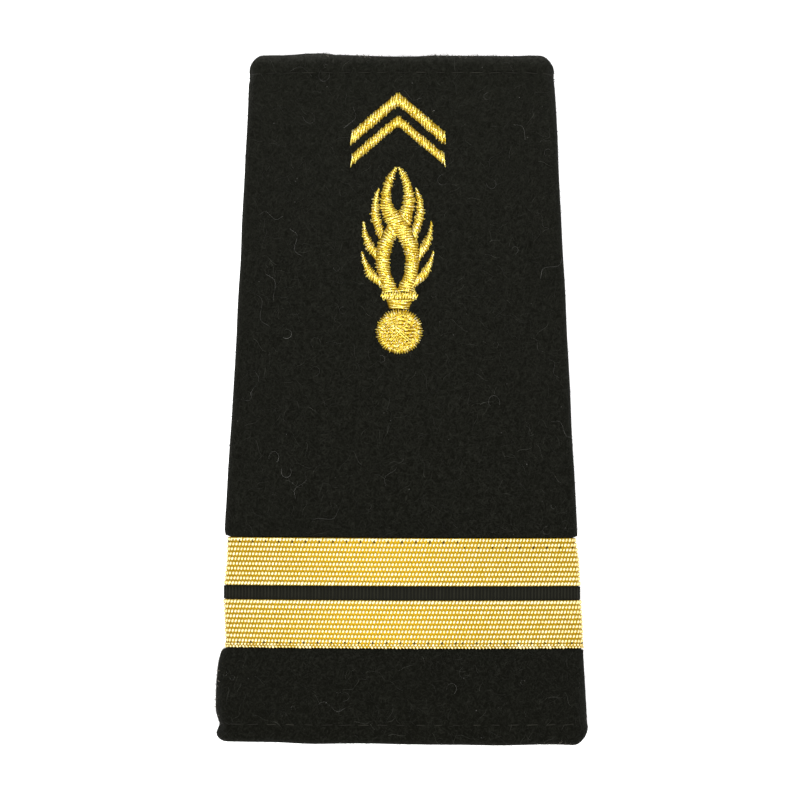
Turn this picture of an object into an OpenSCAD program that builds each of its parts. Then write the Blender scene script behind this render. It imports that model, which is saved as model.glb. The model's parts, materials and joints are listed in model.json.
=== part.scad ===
// Slip-on shoulder board. A sleeve of felt, open at both ends, narrows toward the
// collar end. Its ends are turned in and stitched, a woven rank ribbon goes round
// it, and two chevrons and a flaming grenade are embroidered on its face.
// It lies on its back: X runs across, Y toward the collar end and Z up through the
// face, with the origin below its middle. "Along" is counted from the outer end.

/* [Sleeve] */
// Length from the outer end to the collar end
board_l = 105; // [96:1:120]
// Width across the outer end
outer_w = 56.6; // [52:0.2:62]
// Width across the collar end
collar_w = 46.4; // [42:0.2:52]
// Thickness of the felt
felt_t = 1.1; // [1:0.05:1.4]
// Clear height inside the open ends
mouth_gap = 4.8; // [4.6:0.1:7]
// Clear height inside at mid-length
waist_gap = 6.1; // [5.4:0.1:7.5]
// Radius inside the side folds
fold_in = 0.6; // [0.5:0.05:1.2]

/* [Hems] */
// Depth of the felt that is turned in at each end
hem_d = 6; // [4.5:0.5:8]
// Gap between the two layers of a hem
hem_gap = 0.1; // [0.05:0.05:0.2]
// Length over which the hem's bulk fades into the single felt
hem_run = 6; // [4:0.5:7]
// From an end to its line of stitches
stitch_in = 2.6; // [2.2:0.1:3.4]
// Depth to which the stitches pull the felt in
stitch_dent = 0.2; // [0.1:0.05:0.35]
// Width of the rounded corner of an end
corner_w = 1.8; // [1:0.1:2.6]
// Length of the rounded corner of an end
corner_l = 2.2; // [1:0.1:3]
// How much longer the outer end is at its right side than at its left
end_slant = 0.6; // [0:0.1:1]

/* [Ribbon] */
// From the outer end to the ribbon
ribbon_in = 14.3; // [13:0.1:36]
// Width of a gold band
band_w = 7.4; // [5.5:0.1:9]
// Width of the black stripe between the bands
stripe_w = 2.1; // [1.2:0.1:4]
// Thickness of a gold band
band_t = 0.25; // [0.2:0.01:0.32]
// Thickness of the ribbon's ground under the bands
ground_t = 0.2; // [0.15:0.01:0.26]
// How far the bands lie below the felt's surface
band_drop = 0.08; // [0.05:0.01:0.15]
// How far the black stripe lies below the bands
stripe_drop = 0.06; // [0:0.01:0.1]
// How much the ribbon squeezes the felt under it
squeeze = 0.32; // [0.25:0.01:0.4]
// How much the ribbon draws in the left side, and the felt beside it swells
left_pinch = 0.45; // [0:0.05:0.6]
// The same at the right side
right_pinch = 0.05; // [0:0.05:0.3]
// Gap between the ribbon's ends on the back
ribbon_split = 0.4; // [0.2:0.1:1]

/* [Chevrons] */
// From the collar end to the upper chevron's point
chevron_in = 5.7; // [4.5:0.1:9]
// Width across a chevron
chevron_w = 14.7; // [11:0.1:18]
// Height from a chevron's ends to its point
chevron_rise = 6.1; // [4.5:0.1:7]
// Height of the upper chevron's stroke
upper_stroke = 1.9; // [1.4:0.1:2.6]
// Height of the lower chevron's stroke
lower_stroke = 1.6; // [1.2:0.1:2.2]
// From the upper chevron's point to the lower one's
chevron_step = 3.45; // [3:0.05:4.4]

/* [Grenade] */
// From the lower chevron's stroke to the flame's tip
flame_drop = 6.2; // [5:0.1:8]
// Height of the flame
flame_h = 19.15; // [16:0.05:22]
// Width of the flame
flame_w = 11; // [9:0.1:13]
// Width of the bar below the flame
bar_w = 5.6; // [4.8:0.1:6.6]
// Height of the bar below the flame
bar_h = 1.1; // [0.9:0.1:1.4]
// Width of the neck at its top
neck_w = 4; // [3.2:0.1:4.6]
// Height of the neck
neck_h = 1.35; // [1:0.05:1.8]
// Width of the ball
ball_w = 7.1; // [6:0.1:8.5]
// Height of the ball
ball_h = 6.5; // [5.6:0.1:7.6]
// How far the emblem lies left of the board's middle
emblem_left = 0.6; // [0:0.1:2]
// How far the bar, neck and ball lie right of the flame's middle
ball_right = 0.25; // [0:0.05:0.5]

/* [Thread] */
// Height of the embroidery over the felt
thread_lift = 0.5; // [0.35:0.05:0.7]
// Height of its outer edges
thread_edge = 0.16; // [0.1:0.02:0.25]
// Gap between embroidered pieces that follow each other
thread_gap = 0.15; // [0.1:0.01:0.25]
// Gap between two pieces that lie on each other
lie_gap = 0.05; // [0.03:0.01:0.08]

/* [Hidden] */
tongues = [for (height = ["top", "middle", "low"], side = ["left", "right"])
  str("tongue_", height, "_", side)];

felt_black = [0.12, 0.13, 0.11];
gold = [0.86, 0.69, 0.24];

// Facets: round a side fold, across the front, across half the back, round a hem's
// edge, along a chevron's arm, between two rows of a strand and round the ball
fold_n = 7;
front_n = 16;
back_n = 3;
edge_n = 5;
arm_n = 10;
smooth_n = 2;
ball_n = 24;

hem_stack = 2 * felt_t + hem_gap;
edge_r = hem_stack / 2;
ribbon_w = 2 * band_w + stripe_w;
ribbon_end = ribbon_in + ribbon_w;
ribbon_mid = ribbon_in + ribbon_w / 2;
ground_top = band_drop + band_t + lie_gap;
ground_floor = ground_top + ground_t;
groove = ground_floor + lie_gap;
bulge = max(0, groove - squeeze);
// How far the sides of the groove, of the bulge inside it and of a stitched dent reach
groove_side = band_t;
bulge_side = felt_t;
dent_side = 0.4 * felt_t;
swell_run = hem_d + hem_run;

// The sides by the ribbon: [place in ribbon widths from its middle, share of the pinch]
pinch_shape = [
  [-1.35, 0], [-1, 0.8], [-0.8, 1.1], [-0.64, 1], [-0.54, 0], [-0.5, -1.2],
  [0.5, -0.55], [0.54, 0.3], [0.66, 0.8], [0.85, 0.75], [1.6, 0.45], [2.3, 0.4],
  [3.1, 0]];
// The hem's bulk: [place along its run, share of the bulk]
swell_shape = [[0, 1], [0.25, 0.85], [0.5, 0.5], [0.75, 0.15], [1, 0]];

function blend(from, to, share) = from + (to - from) * share;
function from_end(along) = min(along, board_l - along);
function swell(along) = lookup((from_end(along) - hem_d) / hem_run, swell_shape);
function side(along, pinch) =
  blend(outer_w, collar_w, along / board_l) / 2
  + pinch * lookup((along - ribbon_mid) / ribbon_w, pinch_shape);

// Depth of the outer surface below the sleeve's line, and of the inner surface
function dent(along) =
  lookup(abs(from_end(along) - stitch_in), [[0, stitch_dent], [dent_side, 0]])
  + lookup(abs(along - ribbon_mid) - ribbon_w / 2, [[0, groove], [groove_side, 0]]);
function inside(along) =
  felt_t + lookup(abs(along - ribbon_mid) - ribbon_w / 2, [[0, bulge], [bulge_side, 0]]);

// A cut across the sleeve: [middle, half width, fold radius, height, slope, crown].
// The back is flat, a round fold closes each side, and one wide arc is the front
function cut(along) =
  let (left = side(along, left_pinch), right = side(along, right_pinch),
       half = (left + right) / 2,
       wall = blend(felt_t, hem_stack, swell(along)),
       fold = fold_in + wall,
       high = blend(waist_gap, mouth_gap, swell(along)) + 2 * wall,
       slope = 2 * atan((high - 2 * fold) / (half - fold)))
  [(right - left) / 2, half, fold, high, slope, fold + (half - fold) / sin(slope)];

// Places round a cut, from the middle of the back: [zone, share of the zone]
back = 0;
right_fold = 1;
front = 2;
left_fold = 3;
around = concat(
  [for (i = [0:back_n - 1]) [back, i / back_n]],
  [for (i = [0:fold_n - 1]) [right_fold, i / fold_n]],
  [for (i = [0:front_n - 1]) [front, i / front_n]],
  [for (i = [0:fold_n - 1]) [left_fold, i / fold_n]],
  [for (i = [0:back_n - 1]) [back, i / back_n - 1]]);

function on_cut(c, deep, spot) =
  let (flat = c[1] - c[2],
       turn = spot[0] == right_fold ? -90 + (180 - c[4]) * spot[1]
            : spot[0] == left_fold ? 90 + c[4] + (180 - c[4]) * spot[1]
            : 90 - c[4] + 2 * c[4] * spot[1],
       r = (spot[0] == front ? c[5] : c[2]) - deep,
       x = spot[0] == front ? 0 : spot[0] == right_fold ? flat : -flat,
       z = spot[0] == front ? c[3] - c[5] : c[2])
  spot[0] == back ? [c[0] + flat * spot[1], deep]
                  : [c[0] + x + r * cos(turn), z + r * sin(turn)];

// A place on the sleeve. Its ends are drawn back at the corners, and the outer end
// is slanted
function on_sleeve(along, deep, spot) =
  let (c = cut(along), p = on_cut(c, deep, spot), line = on_cut(c, 0, spot),
       over = max(0, abs(line[0] - c[0]) - (c[1] - corner_w)) / corner_w,
       corner = corner_l * (1 - sqrt(1 - pow(min(1, over), 2))),
       slant = end_slant * (0.5 - line[0] / (2 * c[1])),
       outer_pull = max(0, 1 - along / swell_run) * (corner + slant),
       collar_pull = max(0, 1 - (board_l - along) / swell_run) * corner)
  [p[0], along - board_l / 2 + outer_pull - collar_pull, p[1]];

// Height of the front over a place on the board
function front_z(x, y) =
  let (c = cut(y + board_l / 2))
  c[3] - c[5] + sqrt(pow(c[5], 2) - pow(x - c[0], 2));

// Every place along the board where the sleeve's form changes
function sorted(list) =
  len(list) < 2 ? list
  : let (pivot = list[0], rest = [for (i = [1:len(list) - 1]) list[i]])
    concat(sorted([for (v = rest) if (v < pivot) v]), [pivot],
           sorted([for (v = rest) if (v > pivot) v]));
both_ends = concat(
  [for (row = swell_shape) hem_d + hem_run * row[0]],
  [for (k = [-1:1]) stitch_in + k * dent_side]);
stations = sorted(concat(
  both_ends, [for (s = both_ends) board_l - s],
  [for (row = pinch_shape) ribbon_mid + row[0] * ribbon_w],
  [ribbon_in - bulge_side, ribbon_in - groove_side,
   ribbon_end + groove_side, ribbon_end + bulge_side],
  [for (share = [0.25, 0.5, 0.75]) blend(ribbon_end, board_l - swell_run, share)]));
least_step = 0.1 * felt_t;
function between(from, to) = concat(
  [from], [for (s = stations) if (s > from + least_step && s < to - least_step) s], [to]);
function reversed(list) = [for (i = [len(list) - 1:-1:0]) list[i]];

// The sleeve's wall as a closed line of [along, deep]: round the outer end's hem, up
// the outside, round the collar end's hem, and back down the inside
wall_line = concat(
  [for (i = [0:edge_n]) let (turn = -90 + 180 * i / edge_n)
    [edge_r - edge_r * cos(turn), edge_r - edge_r * sin(turn)]],
  [for (s = stations) if (s > edge_r + least_step && s < board_l - edge_r - least_step)
    [s, dent(s)]],
  [for (i = [0:edge_n]) let (turn = 90 - 180 * i / edge_n)
    [board_l - edge_r + edge_r * cos(turn), edge_r - edge_r * sin(turn)]],
  [[board_l - hem_d, hem_stack], [board_l - hem_d, felt_t + hem_gap],
   [board_l - edge_r, felt_t + hem_gap], [board_l - edge_r, felt_t]],
  [for (s = reversed(between(hem_d, board_l - hem_d))) [s, inside(s)]],
  [[edge_r, felt_t], [edge_r, felt_t + hem_gap],
   [hem_d, felt_t + hem_gap], [hem_d, hem_stack]]);

// A skin over rows of points, each row closed on itself. As a ring the last row
// meets the first, or else both are capped
module skin(rows, ring = false) {
  n = len(rows[0]);
  count = len(rows);
  sides = [for (i = [0:count - (ring ? 1 : 2)], j = [0:n - 1])
    let (next = ((i + 1) % count) * n, j2 = (j + 1) % n)
    each [[i * n + j, next + j, next + j2], [i * n + j, next + j2, i * n + j2]]];
  caps = ring ? [] : [[for (j = [0:n - 1]) j],
                      [for (j = [n - 1:-1:0]) (count - 1) * n + j]];
  polyhedron(points = [for (row = rows) each row], faces = concat(sides, caps));
}

module felt_sleeve() {
  color(felt_black)
    skin([for (spot = around) [for (p = wall_line) on_sleeve(p[0], p[1], spot)]], ring = true);
}

// A band laid round the sleeve, from a closed line of [along, deep]; its ends stay
// apart at the middle of the back
module band_round(line) {
  middle = cut(ribbon_mid);
  split = ribbon_split / 2 / (middle[1] - middle[2]);
  places = concat([[back, split]], [for (i = [1:len(around) - 1]) around[i]], [[back, -split]]);
  skin([for (spot = places) [for (p = line) on_sleeve(p[0], p[1], spot)]]);
}

side_gap = 2 * lie_gap;
stripe_from = ribbon_in + band_w;
stripe_to = stripe_from + stripe_w;

module ribbon_ground() {
  from = ribbon_in + side_gap;
  to = ribbon_end - side_gap;
  color(felt_black)
    band_round(concat(
      [for (s = between(from, stripe_from)) [s, ground_top]],
      [for (s = between(stripe_from, stripe_to)) [s, band_drop + stripe_drop]],
      [for (s = between(stripe_to, to)) [s, ground_top]],
      [for (s = reversed(between(from, to))) [s, ground_floor]]));
}

module gold_band(from, to) {
  spots = between(from + side_gap, to - side_gap);
  color(gold)
    band_round(concat([for (s = spots) [s, band_drop]],
                      [for (s = reversed(spots)) [s, band_drop + band_t]]));
}

module gold_band_upper() gold_band(stripe_to, ribbon_end);
module gold_band_lower() gold_band(ribbon_in, stripe_from);

// Satin stitch between two rails, domed across and laid on the front. Each row is
// [left x, left y, right x, right y], left and right as seen on the way along. A
// stroke narrower than this is lower
satin_full_w = 2.2 * thread_lift;
// Across a row: [share of its width, share of its dome]
dome_shape = [[0, 0], [0.18, 0.72], [0.5, 1], [0.82, 0.72], [1, 0]];

function satin_row(row) =
  let (left = [row[0], row[1]], right = [row[2], row[3]],
       lift = thread_lift * min(1, norm(right - left) / satin_full_w),
       edge = min(thread_edge, lift / 2))
  concat(
    [for (d = dome_shape) let (p = blend(right, left, d[0]))
      [p[0], p[1], front_z(p[0], p[1]) + lie_gap + blend(edge, lift, d[1])]],
    [for (d = dome_shape) let (p = blend(left, right, d[0]))
      [p[0], p[1], front_z(p[0], p[1]) + lie_gap]]);

module satin(rows) {
  color(gold) skin([for (row = rows) satin_row(row)]);
}

// Two arms that meet in a point; the ends are cut upright
module chevron(point_y, stroke) {
  satin([for (i = [-arm_n:arm_n])
    let (share = i / arm_n,
         x = chevron_w / 2 * share - emblem_left,
         y = point_y - chevron_rise * abs(share))
    [x, y - stroke, x, y]]);
}

upper_point = board_l / 2 - chevron_in;
lower_point = upper_point - chevron_step;

module chevron_upper() chevron(upper_point, upper_stroke);
module chevron_lower() chevron(lower_point, lower_stroke);

flame_tip = lower_point - lower_stroke - flame_drop;
flame_base = flame_tip - flame_h;

// A strand of the flame, smooth through rows of shares: of half its width from its
// middle, and of its height from its base, [left x, left y, right x, right y]
function mirrored(rows) = [for (row = rows) [-row[2], row[3], -row[0], row[1]]];
function smooth(rows) = concat(
  [for (i = [0:len(rows) - 2], k = [0:smooth_n - 1])
    let (before = rows[max(0, i - 1)], from = rows[i], to = rows[i + 1],
         after = rows[min(len(rows) - 1, i + 2)], u = k / smooth_n)
    from + (to - before) * u / 2
    + (2 * before - 5 * from + 4 * to - after) * pow(u, 2) / 2
    + (3 * from - before - 3 * to + after) * pow(u, 3) / 2],
  [rows[len(rows) - 1]]);

module strand(rows) {
  satin([for (row = smooth(rows))
    [row[0] * flame_w / 2 - emblem_left, flame_base + row[1] * flame_h,
     row[2] * flame_w / 2 - emblem_left, flame_base + row[3] * flame_h]]);
}

// The long strand: down the upper loop's left side, over the right one, and down
// the lower loop's right side. The two other sides of the loops are its mirror image
upper_loop = [
  [-0.05, 0.995, -0.01, 0.995], [-0.28, 0.92, -0.11, 0.9], [-0.43, 0.8, -0.185, 0.8],
  [-0.46, 0.69, -0.155, 0.7]];
crossing = [[-0.37, 0.59, 0, 0.64], [-0.18, 0.51, 0.25, 0.55], [0.02, 0.43, 0.43, 0.46]];
lower_loop = [
  [0.17, 0.345, 0.56, 0.355], [0.23, 0.245, 0.6, 0.245], [0.19, 0.15, 0.54, 0.14],
  [0.04, 0.03, 0.38, 0.01]];
// Where the right side stops at the long strand, and the left side starts below it
right_end = [[0.12, 0.67, 0.42, 0.63], [0.07, 0.635, 0.36, 0.545]];
left_start = [[-0.31, 0.515, -0.06, 0.45], [-0.44, 0.44, -0.1, 0.41]];
// The side tongues on the right, from the top one down
tongue_shapes = [
  [[0.5, 0.83, 0.53, 0.825], [0.54, 0.73, 0.67, 0.74], [0.52, 0.62, 0.725, 0.6],
   [0.41, 0.505, 0.53, 0.43]],
  [[0.925, 0.562, 0.95, 0.56], [0.86, 0.48, 0.96, 0.47], [0.73, 0.405, 0.88, 0.36],
   [0.61, 0.35, 0.64, 0.265]],
  [[0.98, 0.325, 1, 0.322], [0.88, 0.26, 0.96, 0.235], [0.72, 0.185, 0.82, 0.12],
   [0.56, 0.13, 0.45, 0.04]]];

module flame_cross() strand(concat(upper_loop, crossing, lower_loop));
module flame_right() strand(concat(mirrored(upper_loop), right_end));
module flame_left() strand(concat(left_start, mirrored(lower_loop)));
module tongue(index) {
  shape = tongue_shapes[floor(index / 2)];
  strand(index % 2 == 0 ? mirrored(shape) : shape);
}

ball_x = ball_right - emblem_left;
bar_top = flame_base - thread_gap;
neck_top = bar_top - bar_h - thread_gap;
ball_top = neck_top - neck_h - thread_gap;

// A bar with round ends, stitched from edge to edge
module flame_bar() {
  // [place along half the bar, share of its height]
  shape = [[-1, 0.3], [-0.9, 0.8], [-0.7, 1], [0, 1], [0.7, 1], [0.9, 0.8], [1, 0.3]];
  satin([for (p = shape)
    let (x = ball_x + p[0] * bar_w / 2, y = bar_top - bar_h / 2, half = p[1] * bar_h / 2)
    [x, y - half, x, y + half]]);
}

// A short neck that narrows toward the ball, with hollow sides
module neck() {
  // [place down the neck, share of its top width]
  shape = [[0, 1], [0.5, 0.85], [1, 0.81]];
  satin([for (p = shape)
    let (y = neck_top - p[0] * neck_h, half = p[1] * neck_w / 2)
    [ball_x - half, y, ball_x + half, y]]);
}

// A low dome on an oval foot
module ball() {
  // [share of the foot's radius, share of the lift], up from below
  shape = [[0.2, 0], [0.6, 0], [1, 0], [1, 0.35], [0.9, 0.8], [0.62, 1], [0.2, 1.05]];
  middle = [ball_x, ball_top - ball_h / 2];
  color(gold)
    skin([for (p = shape) [for (i = [0:ball_n - 1])
      let (turn = 360 * i / ball_n,
           x = middle[0] + p[0] * ball_w / 2 * cos(turn),
           y = middle[1] + p[0] * ball_h / 2 * sin(turn))
      [x, y, front_z(x, y) + lie_gap + p[1] * thread_lift]]]);
}

felt_sleeve();
ribbon_ground();
gold_band_upper();
gold_band_lower();
chevron_upper();
chevron_lower();
flame_cross();
flame_right();
flame_left();
for (i = [0:len(tongues) - 1])
  tongue(i);
flame_bar();
neck();
ball();
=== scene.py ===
# %% [markdown]
# # A slip-on shoulder board
#
# The board is a flat sleeve of black wool felt that slides over the strap on a
# uniform's shoulder. A ribbon woven from gold metal thread goes round it, and a
# badge is embroidered on its face. It lies on its back, and the camera looks
# straight down on it.
#
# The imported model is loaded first. It is the fixed frame: each piece of cloth or
# thread is made where the frame's solid of it lies. X runs across the board, Y
# toward its narrow collar end, and Z up out of its face.

# %% Load the frame
import json
import math

import bmesh
import bpy
import numpy as np
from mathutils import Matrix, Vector, noise

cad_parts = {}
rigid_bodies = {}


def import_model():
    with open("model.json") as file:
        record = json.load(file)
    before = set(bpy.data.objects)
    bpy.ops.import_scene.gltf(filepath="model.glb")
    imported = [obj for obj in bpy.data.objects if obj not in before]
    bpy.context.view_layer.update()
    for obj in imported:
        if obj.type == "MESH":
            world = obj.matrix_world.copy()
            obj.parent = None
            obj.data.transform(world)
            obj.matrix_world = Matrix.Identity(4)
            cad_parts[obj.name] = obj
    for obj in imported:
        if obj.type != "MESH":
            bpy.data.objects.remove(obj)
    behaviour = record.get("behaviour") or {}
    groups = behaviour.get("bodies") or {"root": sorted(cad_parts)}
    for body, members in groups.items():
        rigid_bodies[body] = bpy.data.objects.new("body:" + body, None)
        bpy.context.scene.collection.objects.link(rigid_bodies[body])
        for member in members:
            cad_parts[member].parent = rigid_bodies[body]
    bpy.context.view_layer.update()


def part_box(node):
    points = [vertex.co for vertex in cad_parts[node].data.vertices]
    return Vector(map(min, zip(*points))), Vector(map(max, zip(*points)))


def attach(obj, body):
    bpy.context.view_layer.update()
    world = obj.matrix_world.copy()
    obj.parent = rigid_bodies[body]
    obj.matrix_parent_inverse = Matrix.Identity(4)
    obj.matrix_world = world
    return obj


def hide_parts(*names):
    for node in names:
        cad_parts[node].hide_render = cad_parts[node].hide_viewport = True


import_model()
scene = bpy.context.scene
MM = 0.001

# %% [markdown]
# ## Camera, light and floor
#
# A shop photographs a badge from straight above with a long lens, so its edges
# stay parallel. The lens is worked out from the width of board that the picture
# shows. Cloth this dark needs light that comes from nearly everywhere, and metal
# thread needs one large lamp that its rounded strands can mirror. So the scene has
# a pale sky, one wide lamp toward the outer end, and a weaker one opposite. The
# floor is white paper that glows a little, so it stays white beside the board.

# %% Camera
photo_px_per_mm = 6.54
photo_middle_px = (401.5, 399.4)
picture_px = 800
camera_height = 1.2
sensor_w = 36
# Height of the board's widest outline, where the photograph's scale holds
outline_z = 3 * MM

camera_data = bpy.data.cameras.new("camera")
camera_data.sensor_width = sensor_w
camera_data.lens = sensor_w * (camera_height - outline_z) / (picture_px / photo_px_per_mm * MM)
camera_data.clip_end = 20
camera = bpy.data.objects.new("camera", camera_data)
scene.collection.objects.link(camera)
camera.location = (
    (picture_px / 2 - photo_middle_px[0]) / photo_px_per_mm * MM,
    (photo_middle_px[1] - picture_px / 2) / photo_px_per_mm * MM,
    camera_height)
scene.camera = camera
print("lens:", round(camera_data.lens), "mm")

# %% Lamps, sky and floor
def lamp(name, place, size, watts):
    """A square lamp that looks at the middle of the board."""
    data = bpy.data.lights.new(name, "AREA")
    data.size = size
    data.energy = watts
    thing = bpy.data.objects.new(name, data)
    thing.location = place
    thing.rotation_euler = (-Vector(place)).to_track_quat("-Z", "Y").to_euler()
    thing.visible_camera = False
    scene.collection.objects.link(thing)
    return thing


lamp("key", place=(-0.12, -0.30, 0.80), size=0.22, watts=8.0)
lamp("fill", place=(0.30, 0.45, 0.75), size=0.2, watts=3.5)
scene.world = bpy.data.worlds.new("sky")
scene.world.use_nodes = True
scene.world.node_tree.nodes["Background"].inputs["Color"].default_value = (1, 1, 1, 1)
scene.world.node_tree.nodes["Background"].inputs["Strength"].default_value = 0.6
scene.view_settings.view_transform = "Standard"


def mesh_object(name, points, faces=(), edges=(), material=None):
    """A smooth mesh from points in millimetres, placed in the frame in metres. The
    faces of a closed one are turned outward."""
    data = bpy.data.meshes.new(name)
    data.from_pydata([tuple(p) for p in np.asarray(points) * MM], list(edges), list(faces))
    shape = bmesh.new()
    shape.from_mesh(data)
    if not any(e.is_boundary for e in shape.edges) and shape.calc_volume(signed=True) < 0:
        data.flip_normals()
    shape.free()
    data.polygons.foreach_set("use_smooth", [True] * len(data.polygons))
    data.update()
    thing = bpy.data.objects.new(name, data)
    scene.collection.objects.link(thing)
    if material:
        data.materials.append(material)
    return thing


# Half the floor's width, and how far it lies below the board, in millimetres
floor_half = 3000
floor_drop = 0.05
corners = [(x * floor_half, y * floor_half, -floor_drop)
           for x, y in ((-1, -1), (1, -1), (1, 1), (-1, 1))]
floor = mesh_object("floor", corners, [(0, 1, 2, 3)])
paper = bpy.data.materials.new("white_paper")
paper.use_nodes = True
paper_shader = paper.node_tree.nodes["Principled BSDF"]
paper_shader.inputs["Roughness"].default_value = 0.9
paper_shader.inputs["Specular IOR Level"].default_value = 0.0
paper_shader.inputs["Emission Strength"].default_value = 0.55
paper_grain = paper.node_tree.nodes.new("ShaderNodeTexNoise")
paper_grain.inputs["Scale"].default_value = 300
paper_tint = paper.node_tree.nodes.new("ShaderNodeValToRGB")
paper_tint.color_ramp.elements[0].color = (0.90, 0.90, 0.90, 1)
paper_tint.color_ramp.elements[1].color = (0.94, 0.94, 0.94, 1)
paper.node_tree.links.new(paper_grain.outputs[0], paper_tint.inputs[0])
paper.node_tree.links.new(paper_tint.outputs[0], paper_shader.inputs["Base Color"])
paper.node_tree.links.new(paper_tint.outputs[0], paper_shader.inputs["Emission Color"])
floor.data.materials.append(paper)

# %% [markdown]
# ## Short words for long node trees
#
# Every tree below is built in code. Two helpers keep that readable: `node` adds a
# node with its settings and inputs, where an input may be a value, another node or
# a socket, and `new_group` makes a tree with named inputs and outputs.

# %% Helpers for node trees
def socket(sockets, key):
    """The socket with that name or number; of several with one name, the enabled one."""
    if isinstance(key, int):
        return sockets[key]
    return next(s for s in sockets if s.name == key and s.enabled)


def node(tree, kind, inputs=None, **settings):
    """A new node, with its settings set and its inputs set or linked."""
    made = tree.nodes.new(kind)
    for name, value in settings.items():
        setattr(made, name, value)
    for key, value in (inputs or {}).items():
        if isinstance(value, bpy.types.Node):
            value = next(s for s in value.outputs if s.enabled)
        if isinstance(value, bpy.types.NodeSocket):
            tree.links.new(value, socket(made.inputs, key))
        else:
            socket(made.inputs, key).default_value = value
    return made


def new_group(name, kind, inputs, outputs):
    """A tree, the sockets that bring its inputs, and the node that takes its outputs.
    Inputs are (name, type, value), outputs (name, type)."""
    tree = bpy.data.node_groups.new(name, kind)
    for label, form, value in inputs:
        made = tree.interface.new_socket(label, in_out="INPUT", socket_type="NodeSocket" + form)
        if value is not None:
            made.default_value = value
    for label, form in outputs:
        tree.interface.new_socket(label, in_out="OUTPUT", socket_type="NodeSocket" + form)
    start = tree.nodes.new("NodeGroupInput").outputs
    return tree, {s.name: s for s in start if s.name}, tree.nodes.new("NodeGroupOutput")


def math_node(tree, operation, *values):
    """A maths node on some values, sockets or nodes."""
    return node(tree, "ShaderNodeMath", dict(enumerate(values)), operation=operation)


def vector_node(tree, operation, *values, **named):
    """The same for vectors. An input may also be given by its name."""
    return node(tree, "ShaderNodeVectorMath", {**dict(enumerate(values)), **named},
                operation=operation)


def remap(tree, value, from_low, from_high, to_low=0.0, to_high=1.0):
    """A value moved from one range to another, and kept within it."""
    return node(tree, "ShaderNodeMapRange", {
        "Value": value, "From Min": from_low, "From Max": from_high,
        "To Min": to_low, "To Max": to_high})


def grown(name, source, tree, values):
    """Runs a Geometry Nodes tree on a mesh and keeps the result as a plain mesh."""
    modifier = source.modifiers.new("grow", "NODES")
    modifier.node_group = tree
    sockets = {s.name: s.identifier for s in tree.interface.items_tree
               if s.item_type == "SOCKET" and s.in_out == "INPUT"}
    for label, value in values.items():
        modifier[sockets[label]] = value
    evaluated = source.evaluated_get(bpy.context.evaluated_depsgraph_get())
    data = bpy.data.meshes.new_from_object(evaluated)
    source.modifiers.remove(modifier)
    thing = bpy.data.objects.new(name, data)
    data.name = name
    scene.collection.objects.link(thing)
    sides = np.empty(len(data.polygons), int)
    data.polygons.foreach_get("loop_total", sides)
    print(f"{name}: {int((sides - 2).sum())} triangles")
    return thing


def drop(thing):
    """Removes a helper object and its mesh."""
    data = thing.data
    bpy.data.objects.remove(thing)
    bpy.data.meshes.remove(data)


# %% [markdown]
# ## Effects that several materials share
#
# Wool felt is a mat of short curled fibres. Up close it shows as faint streaks
# that cross each other in every direction. A photograph of felt could be wrapped
# round the sleeve, but it would stretch at the folds. Stretched noise in the
# object's own coordinates costs nothing and wraps any shape, so `fibre streaks`
# lays three directions of it over each other, bent by a slower noise.
#
# Sewing and embroidery thread is twisted from plies. `twisted yarn` turns the
# place along and round a thread into the height of those plies.

# %% Shader groups
streaks, take, give = new_group(
    "fibre streaks", "ShaderNodeTree",
    [("Vector", "Vector", None), ("Streaks per Metre", "Float", 4700.0),
     ("Stretch", "Float", 4.5), ("Curl", "Float", 0.0009)],
    [("Streaks", "Float"), ("Mottle", "Float")])
slow = node(streaks, "ShaderNodeTexNoise", {
    "Vector": take["Vector"], "Scale": 700.0, "Detail": 3.0})
bend = vector_node(streaks, "SCALE", vector_node(streaks, "SUBTRACT", slow.outputs["Color"],
                                                 (0.5, 0.5, 0.5)), Scale=take["Curl"])
bent = vector_node(streaks, "ADD", take["Vector"], bend)
layers = []
for turn in (20, 80, 140):
    turned = node(streaks, "ShaderNodeMapping", {
        "Vector": bent, "Rotation": (0, 0, math.radians(turn)),
        "Location": (turn * MM, 0, 0)})
    squeezed = vector_node(streaks, "MULTIPLY", turned, node(
        streaks, "ShaderNodeCombineXYZ", {
            "X": 1.0, "Y": math_node(streaks, "DIVIDE", 1.0, take["Stretch"]), "Z": 1.0}))
    layers.append(node(streaks, "ShaderNodeTexNoise", {
        "Vector": squeezed, "Scale": take["Streaks per Metre"], "Detail": 2.0,
        "Roughness": 0.6}))
crossed = math_node(streaks, "MAXIMUM", math_node(streaks, "MAXIMUM", layers[0], layers[1]),
                    layers[2])
streaks.links.new(remap(streaks, crossed, 0.48, 0.78).outputs[0], give.inputs["Streaks"])
streaks.links.new(remap(streaks, slow.outputs[0], 0.3, 0.7).outputs[0], give.inputs["Mottle"])

yarn, take, give = new_group(
    "twisted yarn", "ShaderNodeTree",
    [("Along", "Float", 0.0), ("Round", "Float", 0.0), ("Twist", "Float", 0.0006),
     ("Plies", "Float", 2.0)],
    [("Height", "Float")])
phase = math_node(yarn, "ADD", math_node(yarn, "DIVIDE", take["Along"], take["Twist"]),
                  take["Round"])
turns = math_node(yarn, "MULTIPLY", math_node(yarn, "MULTIPLY", phase, take["Plies"]), math.pi)
yarn.links.new(math_node(yarn, "ABSOLUTE", math_node(yarn, "SINE", turns)).outputs[0],
               give.inputs["Height"])
print("shader groups:", streaks.name, "and", yarn.name)
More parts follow.
